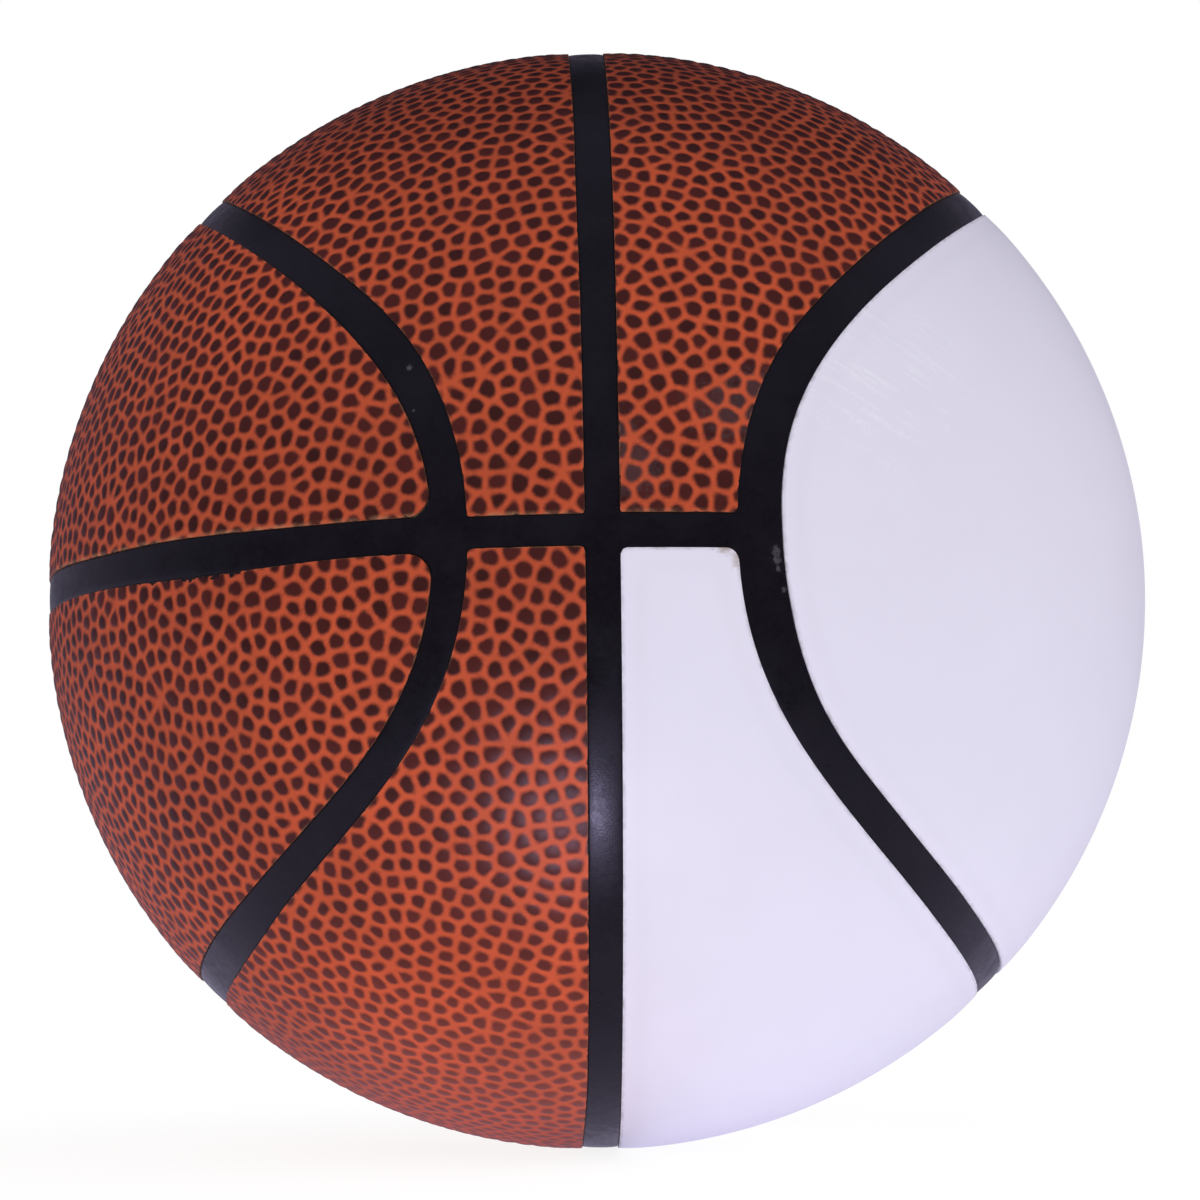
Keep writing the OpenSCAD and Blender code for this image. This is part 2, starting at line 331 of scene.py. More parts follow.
def level_line(height, around):
    """Points at a height over the level plane, the angle counted from the front towards the side."""
    rise = np.arcsin(height + 0 * around)
    return np.stack([np.cos(rise) * np.sin(around), -np.cos(rise) * np.cos(around), np.sin(rise)], -1)


def upright_line(offset, turn):
    """Points at a distance beside the upright plane, the turn counted from the front over the top."""
    return on_ball(np.arcsin(offset + 0 * turn), turn)


# ---- Outlines of the panels ----


LINE_POINTS = 2400  # Points on a half turn of an edge
ARC_POINTS = 9  # Points on half of a corner's arc
FACING = (0.24, 0.76)  # Shares of a half oval's loop between which it faces the level channel
OVAL_SPLIT = math.radians(48)  # Turn from the front and the back at which the whole oval's loop is cut


def lengths(curve):
    """Length along a curve up to each of its points."""
    return np.concatenate([[0], np.cumsum(np.linalg.norm(np.diff(curve, axis=0), axis=-1))])


def at_length(curve, where):
    """Points of a curve at the given lengths along it, put back on the ball of radius one."""
    along = lengths(curve)
    return unit(np.stack([np.interp(where, along, curve[:, k]) for k in range(3)], -1))


def round_corner(first, second, radius):
    """Rounds the corner where two curves start, by a conic arc between the points one radius along each, and starts
    both curves at the arc's middle."""
    if radius <= 0:
        return first, second
    start, end, corner = at_length(first, [radius])[0], at_length(second, [radius])[0], first[0]
    weight = math.sqrt(0.5)
    made = []
    for curve, last in ((first, 0), (second, 1)):
        u = np.linspace(0.5, last, ARC_POINTS)[:, None]
        arc = unit((1 - u) ** 2 * start + 2 * weight * u * (1 - u) * corner + u * u * end)
        made.append(np.vstack([arc, curve[lengths(curve) > radius]]))
    return made


def rounded_sides(low, high, start, end, radii):
    """The four sides of a panel with their corners rounded. low and high run from start to end; start and end run
    from low to high. radii holds the corners low-start, low-end, high-start and high-end."""
    low, start = round_corner(low, start, radii[0])
    turned, end = round_corner(low[::-1], end, radii[1])
    low = turned[::-1]
    high, turned = round_corner(high, start[::-1], radii[2])
    start = turned[::-1]
    first, second = round_corner(high[::-1], end[::-1], radii[3])
    return low, first[::-1], start, second[::-1]


def to_map(points, polar):
    """Flat map of points on the ball. Polar: distance and direction from the +X axis. Otherwise turn and lean."""
    x, y, z = points[..., 0], points[..., 1], points[..., 2]
    if not polar:
        return np.stack([turn_of(points), np.arcsin(np.clip(x, -1, 1))], -1)
    tilt = np.arccos(np.clip(x, -1, 1))
    across = np.maximum(np.hypot(y, z), 1e-12)
    return np.stack([-tilt * y / across, tilt * z / across], -1)


def from_map(flat, polar):
    """Points on the ball of a flat map, the inverse of to_map."""
    u, v = flat[..., 0], flat[..., 1]
    if not polar:
        return on_ball(v, u)
    tilt = np.hypot(u, v)
    scale = np.sinc(tilt / np.pi)
    return np.stack([np.cos(tilt), -scale * u, scale * v], -1)


def patch(sides, counts, polar):
    """Grid of points on the ball inside four sides, as a Coons patch on the flat map: the blend of low and high, plus
    the blend of start and end, less the blend of the four corners."""
    across, along = counts
    low, high, start, end = [
        to_map(at_length(side, np.linspace(0, lengths(side)[-1], count + 1)), polar)
        for side, count in zip(sides, (across, across, along, along))
    ]
    s = np.linspace(0, 1, across + 1)[:, None, None]
    t = np.linspace(0, 1, along + 1)[None, :, None]
    ruled = (1 - t) * low[:, None] + t * high[:, None] + (1 - s) * start[None] + s * end[None]
    corners = (1 - s) * ((1 - t) * low[0] + t * high[0]) + s * ((1 - t) * low[-1] + t * high[-1])
    return from_map(ruled - corners, polar)


def band_sides(side, level, shape):
    """Sides of a band panel, worked out on the upper right of the ball: the level channel at the front and at the
    back, the upright channel and the loop."""
    height = LEVEL_BAND_EDGE[side, level] / shape.crown
    turn = np.linspace(0, math.pi, LINE_POINTS)
    offset = edge_at(UPRIGHT_EDGE[side], level * turn) / shape.crown
    upright = upright_line(offset, turn)
    upright = upright[upright[:, 2] >= height]
    loop = beside_loop(turn, edge_at(BAND_EDGE[side], level * turn), shape)
    loop = loop[loop[:, 2] >= height]
    around = np.arcsin(offset[[0, -1]] / math.cos(math.asin(height)))
    near_front, near_back = level_line(height, around) * [[1, 1, 1], [1, -1, 1]]
    edge = level_line(height, np.linspace(0, math.pi, 2 * LINE_POINTS))
    front = edge[(edge[:, 0] >= near_front[0]) & (edge[:, 0] <= loop[0, 0]) & (edge[:, 1] < 0)]
    back = edge[(edge[:, 0] >= near_back[0]) & (edge[:, 0] <= loop[-1, 0]) & (edge[:, 1] > 0)][::-1]
    front = np.vstack([near_front, front, loop[0]])
    back = np.vstack([near_back, back, loop[-1]])
    upright = np.vstack([near_front, upright, near_back])
    return rounded_sides(front, back, upright, loop, [r / shape.crown for r in BAND_CORNERS[side, level] * 2])


def half_oval_sides(side, level, shape):
    """Sides of a half oval, worked out on the upper right of the ball: the level channel, and the loop cut in three
    so that the middle piece faces the level channel."""
    turn, around = [np.linspace(0, math.pi, count) for count in (LINE_POINTS, 2 * LINE_POINTS)]
    loop = beside_loop(turn, -edge_at(OVAL_EDGE[side], level * turn), shape)
    lift = edge_at(LEVEL_OVAL_EDGE[level], around_of(loop)) / shape.crown
    loop = loop[loop[:, 2] >= lift]
    low = level_line(edge_at(LEVEL_OVAL_EDGE[level], around) / shape.crown, around)
    low = low[(low[:, 0] > loop[0, 0]) | (np.abs(low[:, 1]) < 0.5)]
    low = np.vstack([loop[0], low, loop[-1]])
    radius = shape.oval_corner / shape.crown
    low, loop_start = round_corner(low, loop, radius)
    turned, loop_end = round_corner(low[::-1], loop_start[::-1], radius)
    low, loop = turned[::-1], loop_end[::-1]
    along = lengths(loop)
    first, second = np.searchsorted(along, [along[-1] * share for share in FACING])
    return low, loop[first : second + 1], loop[: first + 1], loop[second:][::-1]


def oval_sides(side, _, shape):
    """Sides of the whole oval: its loop cut in four, at the split's angle from the front and from the back. The
    level, which the other outlines take too, isn't used."""
    near, far = OVAL_SPLIT, math.pi - OVAL_SPLIT
    ends = ((-near, -far), (near, far), (-near, near), (-far, -math.pi - near))
    turns = [np.linspace(first, last, LINE_POINTS // 2) for first, last in ends]
    return [beside_loop(turn, -edge_at(OVAL_EDGE[side], turn), shape) for turn in turns]


# ---- Surfaces ----


EVENING_ROUNDS = 11  # Rounds in which pebbles that are too close push each other away
EVEN_GAP = 1.18  # Gap below which they push, as a share of the pitch
EVEN_SHARE = 0.2  # Share of the push that one round makes
EVEN_CELL, FIELD_CELL = 1.25, 1.2  # Sides of the cubes that sort the centres, as shares of the pitch
SHARPNESS = 11.0  # Steepness of the soft minimum over one pitch: the higher, the sharper a cell's corners
BATCH = 20000  # Places that are worked out at a time
FAR_OFF = 9.0  # Coordinates of the point that fills empty places in a table


def edge_distances(points, side, level, form, shape):
    """Distance of each point from every edge of its panel, on the right side of the ball and the upper level."""
    away, turn = from_loop(points, shape)
    beyond = -away - edge_at(OVAL_EDGE[side], level * turn)
    if form == "oval":
        return [beyond]
    height = shape.crown * np.arcsin(points[..., 2])
    if form == "half":
        return [beyond, height - edge_at(LEVEL_OVAL_EDGE[level], around_of(points))]
    offset = shape.crown * np.arcsin(points[..., 0])
    return [
        away - edge_at(BAND_EDGE[side], level * turn),
        offset - edge_at(UPRIGHT_EDGE[side], level * turn_of(points)),
        height - LEVEL_BAND_EDGE[side, level],
    ]


def step(low, high, value):
    """Smooth step from 0 at low to 1 at high: 3 t squared less 2 t cubed."""
    t = np.clip((value - low) / (high - low), 0, 1)
    return t * t * (3 - 2 * t)


class NearPoints:
    """Points on the ball sorted into cubes, so that all points near a query are read from a table."""

    def __init__(self, points, cell):
        """Numbers the cube of each point and puts the points into a table with a row for each cube."""
        self.cell = cell
        self.low = points.min(0) - 2 * cell
        index = np.floor((points - self.low) / cell).astype(np.int64)
        self.size = index.max(0) + 3
        key = self.key(index)
        order = np.argsort(key, kind="stable")
        key = key[order]
        rank = np.arange(len(key)) - np.searchsorted(key, key)
        self.table = np.full((int(self.size.prod()), int(rank.max()) + 1), len(points))
        self.table[key, rank] = order
        self.points = np.vstack([points, np.full(3, FAR_OFF)])

    def key(self, index):
        """Number of a cube from its three indices."""
        return (index[..., 0] * self.size[1] + index[..., 1]) * self.size[2] + index[..., 2]

    def near(self, where):
        """Indices of the points in the 27 cubes round each place."""
        index = np.clip(np.floor((where - self.low) / self.cell).astype(np.int64), 1, self.size - 2)
        steps = np.stack(np.meshgrid(*[[-1, 0, 1]] * 3, indexing="ij"), -1).reshape(-1, 3)
        keys = self.key(index[:, None] + steps)
        return self.table[keys].reshape(len(where), -1)


def pebble_centres(grain, radius):
    """Centres of the pebbles over the whole ball.

    A golden-angle spiral spaces the points evenly, a seeded push sends each astray, and a few rounds in which each
    point moves off its close neighbours even them out again.
    """
    rng = np.random.default_rng(grain.seed)
    count = int(4 * math.pi * radius**2 / (math.sqrt(0.75) * grain.pitch**2))
    k = np.arange(count) + 0.5
    height, angle = 1 - 2 * k / count, k * math.pi * (3 - math.sqrt(5))
    ring = np.sqrt(1 - height**2)
    points = radius * np.stack([ring * np.cos(angle), ring * np.sin(angle), height], -1)
    points = radius * unit(points + rng.normal(0, grain.unrest * grain.pitch, points.shape))
    for _ in range(EVENING_ROUNDS):
        found = NearPoints(points, grain.pitch * EVEN_CELL)
        gap = points[:, None] - found.points[found.near(points)]
        far = np.linalg.norm(gap, axis=-1)
        push = np.clip(EVEN_GAP * grain.pitch - far, 0, None) * (far > 1e-9)
        move = np.sum(gap / np.maximum(far, 1e-9)[..., None] * push[..., None], 1)
        points = radius * unit(points + EVEN_SHARE * move)
    return points


def pebble_field(points, centres, grain):
    """How much nearer each place is to its own pebble's centre than to the next ones.

    The next distance is a soft minimum over all other centres, minus the logarithm of the sum of exponentials, which
    rounds the corners of the cells. The field is zero in the middle of the net and largest on a pebble's centre. The
    number of the nearest centre comes back too.
    """
    found = NearPoints(centres, grain.pitch * FIELD_CELL)
    sharp = SHARPNESS / grain.pitch
    field, nearest = np.empty(len(points)), np.empty(len(points), np.int64)
    for first in range(0, len(points), BATCH):
        part = slice(first, first + BATCH)
        index = found.near(points[part])
        far = np.linalg.norm(points[part][:, None] - found.points[index], axis=-1)
        best = far.argmin(1)
        own = far[np.arange(len(far)), best]
        others = np.exp(-sharp * (far - own[:, None])).sum(1) - 1
        field[part] = -np.log(np.maximum(others, 1e-9)) / sharp
        nearest[part] = index[np.arange(len(far)), best]
    return field, nearest


def turned(points, number):
    """Points turned by a seeded quaternion, so that each panel is cut from another part of the sheet: twice the
    cross product of its vector with them, times its scalar, and twice the cross product with that are added."""
    w, *v = unit(np.random.default_rng(number).normal(size=4))
    across = np.cross(v, points)
    return points + 2 * (w * across + np.cross(v, across))


def grid_index(across, along):
    """Numbers of the points of a grid, across + 1 rows of along + 1 points."""
    return np.arange((across + 1) * (along + 1)).reshape(across + 1, along + 1)


def ring_of(across, along):
    """Numbers of the points on the border of a grid, in order round it."""
    index = grid_index(across, along)
    return np.concatenate([index[:-1, 0], index[-1, :-1], index[:0:-1, -1], index[0, :0:-1]])


def grid_faces(across, along, first=0):
    """Quads of a grid whose points are numbered from first."""
    index = grid_index(across, along) + first
    return np.stack([index[:-1, :-1], index[1:, :-1], index[1:, 1:], index[:-1, 1:]], -1).reshape(-1, 4)


def closed_sheet(grid, top, lower, skip):
    """Closed solid of a panel: the top grid, a rounded rim, a wall and a coarse underside.

    grid holds unit vectors and top the radius at each. The rim steps down and out by the lower list of (outwards,
    radius) pairs. The underside takes every skip-th point of the grid and is joined to the last ring by triangles
    that fan from each coarse point to the ring's points nearest it.
    """
    across, along = grid.shape[0] - 1, grid.shape[1] - 1
    ring = ring_of(across, along)
    flat = grid.reshape(-1, 3)
    points = [flat * top.reshape(-1, 1)]
    quads = [grid_faces(across, along)]
    border = flat[ring]
    tangent = unit(np.roll(border, -1, 0) - np.roll(border, 1, 0))
    outward = np.cross(tangent, border)
    middle = flat.mean(0)
    if np.sum(outward * (border - middle)) < 0:
        outward = -outward
    previous, count = ring, len(flat)
    total = len(ring)
    for shift, radius in lower:
        points.append(unit(border + outward * shift) * radius)
        current = count + np.arange(total)
        quads.append(np.stack([np.roll(previous, -1), previous, current, np.roll(current, -1)], -1))
        previous, count = current, count + total
    rows, columns = across // skip, along // skip
    coarse = grid[skip:-1:skip, skip:-1:skip][: rows - 1, : columns - 1]
    points.append(coarse.reshape(-1, 3) * lower[-1][1])
    quads.append(grid_faces(rows - 2, columns - 2, count)[:, ::-1])

    def apex(number, steps):
        """Row or column of the coarse grid that is nearest to each step of the border."""
        return np.clip(np.rint((number + 0.5) / skip).astype(int), 1, steps - 1) - 1

    i, j = np.arange(across), np.arange(along)
    width = columns - 1
    peak = count + np.concatenate(
        [
            apex(i, rows) * width,
            (rows - 2) * width + apex(j, columns),
            apex(i, rows)[::-1] * width + columns - 2,
            apex(j, columns)[::-1],
        ]
    )
    following, after = np.roll(previous, -1), np.roll(peak, -1)
    fans = np.stack([following, previous, peak], -1)
    joins = np.stack([following, peak, after], -1)[peak != after]
    return np.vstack(points), quads, np.vstack([fans, joins])


def points_inward(points, quads):
    """Whether each quad's normal, the cross product of its edges at its first corner, points to the ball's centre."""
    first, second, _, last = points[quads.T]
    return np.sum(np.cross(second - first, last - first) * first, -1) < 0


def outward_faces(points, quads, triangles):
    """The faces, all turned over if the first quads point towards the ball's centre."""
    if points_inward(points, quads[0])[len(quads[0]) // 2]:
        return [f[:, ::-1] for f in quads], triangles[:, ::-1]
    return quads, triangles


def linked(name, data):
    """Object with that data, put into the scene."""
    made = bpy.data.objects.new(name, data)
    bpy.context.scene.collection.objects.link(made)
    return made


def make_mesh(name, points, quads, triangles, values, sharp):
    """Mesh object from arrays of points, quads and triangles, with one float per point for each named value."""
    mesh = bpy.data.meshes.new(name)
    quads = np.vstack(quads) if len(quads) else np.empty((0, 4), int)
    corners = np.concatenate([quads.ravel(), triangles.ravel()])
    starts = np.concatenate([np.arange(len(quads)) * 4, 4 * len(quads) + np.arange(len(triangles)) * 3])
    mesh.vertices.add(len(points))
    mesh.vertices.foreach_set("co", points.astype(np.float32).ravel())
    mesh.loops.add(len(corners))
    mesh.loops.foreach_set("vertex_index", corners.astype(np.int32))
    mesh.polygons.add(len(starts))
    mesh.polygons.foreach_set("loop_start", starts.astype(np.int32))
    mesh.update(calc_edges=True)
    mesh.validate()
    mesh.shade_smooth()
    mesh.set_sharp_from_angle(angle=math.radians(sharp))
    for key, numbers in values.items():
        full = np.zeros(len(points), np.float32)
        full[: len(numbers)] = numbers
        mesh.attributes.new(key, "FLOAT", "POINT").data.foreach_set("value", full)
    return linked(name, mesh)


def place(made, material, node, slot):
    """Gives a piece its material and its body, and hides the solid it stands for. The slot of its finish is not used.
    """
    made.data.materials.append(material)
    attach(made, "root")
    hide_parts(node)


# ---- Material building ----


MATT = 0.2  # Specular level of every finish


def new_material(name, **plain):
    """Material with one Principled shader, whose plain values are set on its own sockets."""
    material = bpy.data.materials.new(name)
    material.use_nodes = True
    shader = material.node_tree.nodes["Principled BSDF"]
    for key, value in plain.items():
        shader.inputs[key.replace("_", " ").title().replace("Ior", "IOR")].default_value = value
    return material, material.node_tree, shader


def set_input(tree, socket, value):
    """Links a socket to another one, or sets its plain value."""
    if isinstance(value, bpy.types.NodeSocket):
        tree.links.new(value, socket)
    else:
        socket.default_value = value


def add(tree, kind, links=None, **settings):
    """Adds a node, sets its properties, and sets or links its inputs by name or number."""
    made = tree.nodes.new(kind)
    for key, value in settings.items():
        setattr(made, key, value)
    for key, value in (links or {}).items():
        set_input(tree, made.inputs[key], value)
    return made


def ramp(tree, value, low, high, to_low=0.0, to_high=1.0, smooth=True):
    """Range of a value mapped to another range."""
    links = {"Value": value, "From Min": low, "From Max": high, "To Min": to_low, "To Max": to_high}
    kind = "SMOOTHSTEP" if smooth else "LINEAR"
    return add(tree, "ShaderNodeMapRange", links, interpolation_type=kind).outputs["Result"]


def swing(tree, value, to_low=0.0, to_high=1.0, smooth=True):
    """The usual range of a noise, 0.3 to 0.7, mapped to another range."""
    return ramp(tree, value, 0.3, 0.7, to_low, to_high, smooth)


def calc(tree, operation, first, second):
    """Result of a Math node."""
    return add(tree, "ShaderNodeMath", {0: first, 1: second}, operation=operation).outputs[0]


def times(tree, first, *others):
    """Product of values, multiplied in their order."""
    for other in others:
        first = calc(tree, "MULTIPLY", first, other)
    return first


def plus(tree, first, second):
    """Sum of two values."""
    return calc(tree, "ADD", first, second)


def mixed(tree, factor, first, second):
    """Mix of two colours."""
    made = add(tree, "ShaderNodeMix", {"Factor": factor}, data_type="RGBA")
    for key, value in (("A", first), ("B", second)):
        socket = next(s for s in made.inputs if s.name == key and s.type == "RGBA")
        set_input(tree, socket, value if isinstance(value, bpy.types.NodeSocket) else (*value[:3], 1))
    return next(s for s in made.outputs if s.type == "RGBA")


def painted(tree, face, *layers):
    """A colour with layers over it, each a mask and the colour that it brings, in their order."""
    for mask, colour in layers:
        face = mixed(tree, mask, face, colour)
    return face


def blend(tree, factor, first, second):
    """Mix of two values."""
    return add(tree, "ShaderNodeMix", {"Factor": factor, "A": first, "B": second}).outputs["Result"]


def shade(colour, gain):
    """A colour with each part multiplied by the gain."""
    return [part * gain for part in colour]


def named_value(tree, name):
    """Value stored on the points of the mesh."""
    return add(tree, "ShaderNodeAttribute", attribute_name=name, attribute_type="GEOMETRY").outputs["Fac"]


def object_place(tree):
    """Object coordinates."""
    return add(tree, "ShaderNodeTexCoord").outputs["Object"]


def noise(tree, scale, detail=2.0, roughness=0.5):
    """Noise on Object coordinates, in lumps per metre."""
    links = {"Vector": object_place(tree), "Scale": scale, "Detail": detail, "Roughness": roughness}
    return add(tree, "ShaderNodeTexNoise", links).outputs["Fac"]


def new_group(name, inputs, output):
    """Empty shader node group with float inputs and one float output, and their sockets inside the group."""
    group = bpy.data.node_groups.new(name, "ShaderNodeTree")
    for key, value in inputs.items():
        group.interface.new_socket(key, in_out="INPUT", socket_type="NodeSocketFloat").default_value = value
    group.interface.new_socket(output, in_out="OUTPUT", socket_type="NodeSocketFloat")
    return group, group.nodes.new("NodeGroupInput").outputs, group.nodes.new("NodeGroupOutput").inputs[output]


def use_group(tree, maker, **values):
    """Places the shared group that a maker builds, with its own values. The group has its maker's name."""
    group = bpy.data.node_groups.get(maker.__name__) or maker()
    return add(tree, "ShaderNodeGroup", values, node_tree=group).outputs[0]


def mottle():
    """Slow and fine variation of a finish: a mask round one half, from two noises."""
    group, ends, out = new_group("mottle", {"Size": 60.0, "Strength": 0.2}, "Mask")
    slow = noise(group, ends["Size"], 3.0)
    fine = noise(group, times(group, ends["Size"], 7.0), 3.0)
    both = plus(group, times(group, slow, 0.65), times(group, fine, 0.35))
    shifted = times(group, calc(group, "SUBTRACT", both, 0.5), ends["Strength"])
    group.links.new(plus(group, shifted, 0.5), out)
    return group


def rim_wear():
    """Mask of worn and soiled spots along an edge: one at the rim, broken up by noise, and falling off inwards."""
    group, ends, out = new_group("rim_wear", {"Distance": 1.0, "Width": 0.0004, "Breaks": 0.5}, "Mask")
    near = ramp(group, ends["Distance"], 0.0, ends["Width"], 1.0, 0.0)
    broken = ramp(group, noise(group, 260.0, 3.0, 0.6), ends["Breaks"], 0.75)
    group.links.new(times(group, near, broken), out)
    return group


def mark():
    """Mask of one mark: one near its place, nothing beyond its size, its edge frayed by noise."""
    group, ends, out = new_group("mark", {"X": 0.0, "Y": 0.0, "Z": 0.0, "Size": 0.001}, "Mask")
    middle = add(group, "ShaderNodeCombineXYZ", {key: ends[key] for key in "XYZ"}).outputs["Vector"]
    span = {0: object_place(group), 1: middle}
    away = add(group, "ShaderNodeVectorMath", span, operation="DISTANCE").outputs["Value"]
    share = calc(group, "DIVIDE", away, ends["Size"])
    frayed = plus(group, share, swing(group, noise(group, 1200.0), -0.4, 0.4, False))
    group.links.new(ramp(group, frayed, 0.2, 1.0, 1.0, 0.0), out)
    return group


def creases():
    """Height of fine creases that run down to the right, within a distance of one place: noise drawn out along lines
    that lean by 32 degrees."""
    group, ends, out = new_group("creases", {"X": 0.0, "Y": 0.0, "Z": 0.0, "Size": 0.02}, "Height")
    links = {"Vector": object_place(group), "Angle": math.radians(-32)}
    lean = add(group, "ShaderNodeVectorRotate", links, rotation_type="Y_AXIS").outputs["Vector"]
    drawn = {0: lean, 1: (70.0, 70.0, 760.0)}
    lines = add(group, "ShaderNodeVectorMath", drawn, operation="MULTIPLY").outputs["Vector"]
    fine = add(group, "ShaderNodeTexNoise", {"Vector": lines, "Scale": 1.0, "Detail": 2.0}).outputs["Fac"]
    region = at_place(group, mark, [ends[key] for key in ("X", "Y", "Z", "Size")])
    group.links.new(times(group, ramp(group, fine, 0.50, 0.66), region), out)
    return group


def skin_grain():
    """Height of a fine skin grain, from a small noise over a cell pattern."""
    group, ends, out = new_group("skin_grain", {"Size": 2500.0, "Cells": 0.4}, "Height")
    where = {"Vector": object_place(group), "Scale": ends["Size"]}
    cells = add(group, "ShaderNodeTexVoronoi", where).outputs["Distance"]
    group.links.new(plus(group, noise(group, ends["Size"]), times(group, cells, ends["Cells"])), out)
    return group


def at_place(tree, maker, place):
    """A shared group with its place and size set or linked: x, y, z, size."""
    return use_group(tree, maker, **dict(zip(("X", "Y", "Z", "Size"), place)))


def marked(tree, places):
    """Mask of several marks, each (x, y, z, size)."""
    mask = 0.0
    for place in places:
        mask = calc(tree, "MAXIMUM", mask, at_place(tree, mark, place))
    return mask


def feed(tree, shader, colour, roughness, height, distance, strength):
    """Feeds a colour, a roughness and a height into the shader. distance is the height of a full step in metres."""
    bump = add(tree, "ShaderNodeBump", {"Height": height, "Distance": distance, "Strength": strength})
    for key, value in (("Base Color", colour), ("Roughness", roughness), ("Normal", bump.outputs["Normal"])):
        set_input(tree, shader.inputs[key], value)


# Places and sizes of the marks that the ball carries on its front
SPECKS = [(-0.0359, -0.1084, 0.0332, 0.0007), (-0.0352, -0.1109, 0.0246, 0.0004)]
SCUFFS = [
    (0.0321, -0.1144, -0.0032, 0.0013),
    (0.0322, -0.1143, -0.0049, 0.0012),
    (0.0327, -0.1141, -0.0064, 0.0008),
    (0.0337, -0.1136, -0.0104, 0.0008),
]
SOILED = [(0.0223, -0.1167, -0.0031, 0.0020), (0.0240, -0.1164, -0.0048, 0.0024), (0.0432, -0.1044, -0.0374, 0.0012)]
SMEARED = [
    (-0.0879, -0.0801, -0.0029, 0.0022),
    (-0.0847, -0.0834, -0.0029, 0.0022),
    (-0.0798, -0.0880, -0.0030, 0.0028),
    (-0.0748, -0.0923, -0.0033, 0.0026),
    (-0.0700, -0.0960, -0.0030, 0.0026),
]
SMUDGED = [
    (0.0237, -0.1141, 0.0239, 0.0090),
    (0.0288, -0.1122, 0.0275, 0.0070),
    (0.0055, -0.1182, 0.0125, 0.0080),
    (0.0020, -0.1180, 0.0190, 0.0060),
]
CREASED = (0.0545, -0.1005, 0.0330, 0.024)

# Colours of the wear and the dirt, and of a painted sheen
PAINTED_SHEEN = (0.40, 0.17, 0.15)
FILM = (0.070, 0.052, 0.062)
SOIL = (0.16, 0.13, 0.12)
FAINT_SOIL = (0.36, 0.28, 0.26)
SCUFF = (0.10, 0.09, 0.115)
CREASE = (1.0, 1.0, 1.0)
RUBBER_TINT = (0.92, 0.90, 1.0, 1.0)

STRAY = 0.00022  # Metres by which noise, a pebble's own tone and painted light on the ball's low side move the edge of a dark spot


def pebbled_material(colours):
    """Brown pebbled cover: dark pebbles in an orange net.

    Painted light makes the brown slowly lighter towards the bottom of the ball, with fainter, smaller pebbles and a
    painted sheen there, and painted shade makes it darker towards the top and on the left. Over it lie a grey film on
    a few pebbles, worn edges, pale borders along the level channel, black smears and the dark wall of the cut edge.
    """
    material, tree, shader = new_material("pebbled_cover", specular_ior_level=MATT)
    field, rim, tone, border = (named_value(tree, name) for name in ("pebble", "rim", "tone", "border"))
    side, _, height = add(tree, "ShaderNodeSeparateXYZ", {"Vector": object_place(tree)}).outputs
    # Painted light: low rises from nothing just below the middle of the ball to one at its bottom
    low = ramp(tree, height, -0.119, -0.01, 1.0, 0.0, False)
    wander = swing(tree, noise(tree, 700.0), -STRAY, STRAY, False)
    level = plus(tree, field, plus(tree, wander, times(tree, tone, STRAY)))
    # Painted light: the dark spots shrink towards the bottom
    level = calc(tree, "SUBTRACT", level, times(tree, low, STRAY))
    spot = ramp(tree, level, 0.00008, 0.00180)
    slow = use_group(tree, mottle, Size=22.0, Strength=1.0)
    net = mixed(tree, swing(tree, slow), shade(colours.net, 0.90), shade(colours.net, 1.18))
    lighter = [part * gain for part, gain in zip(colours.pebble, (1.45, 1.35, 1.3))]
    pebble = mixed(tree, ramp(tree, tone, -0.5, 0.5), shade(colours.pebble, 0.85), lighter)
    # Painted light: the pebbles fade towards the bottom
    face = mixed(tree, times(tree, spot, ramp(tree, low, 0.3, 1.0, 1.0, 0.78)), net, pebble)
    # Painted sheen: a pinkish grey mixed in at the very bottom, standing for the floor's reflection there
    face = mixed(tree, ramp(tree, low, 0.6, 1.0, 0.0, 0.16), face, PAINTED_SHEEN)
    # Painted light and shade: up to a fifth lighter towards the bottom, down to half at the top, a tenth darker on
    # the left
    gain = times(
        tree,
        ramp(tree, low, 0.0, 1.0, 1.0, 1.2, False),
        ramp(tree, height, 0.055, 0.125, 1.0, 0.5),
        ramp(tree, side, -0.09, -0.02, 0.9, 1.0),
    )
    face = add(tree, "ShaderNodeVectorMath", {0: face, "Scale": gain}, operation="SCALE").outputs["Vector"]
    film = times(tree, marked(tree, SMUDGED), ramp(tree, spot, 0.0, 1.0, 0.06, 0.34))
    worn = use_group(tree, rim_wear, Distance=rim, Width=0.0004, Breaks=0.45)
    pale = use_group(tree, rim_wear, Distance=border, Width=0.0010, Breaks=0.3)
    fray = ramp(tree, noise(tree, 420.0, 3.0, 0.6), 0.48, 0.72, -0.00008, 0.00028, False)
    smear = times(tree, marked(tree, SMEARED), ramp(tree, noise(tree, 800.0), 0.35, 0.6, 0.0003, 0.0013))
    reach = calc(tree, "SUBTRACT", plus(tree, fray, smear), rim)
    face = painted(
        tree,
        face,
        (film, FILM),
        (times(tree, worn, 0.35), colours.edge),
        (times(tree, pale, 0.55), shade(colours.edge, 1.25)),
        (ramp(tree, reach, -0.00005, 0.00005), colours.rubber),
        (ramp(tree, rim, -0.00002, 0.00004, 1.0, 0.0), shade(colours.edge, 0.4)),
    )
    grain = use_group(tree, skin_grain, Size=3200.0, Cells=0.5)
    feed(tree, shader, face, ramp(tree, spot, 0.0, 1.0, 0.58, 0.46), grain, 0.00002, 0.5)
    return material


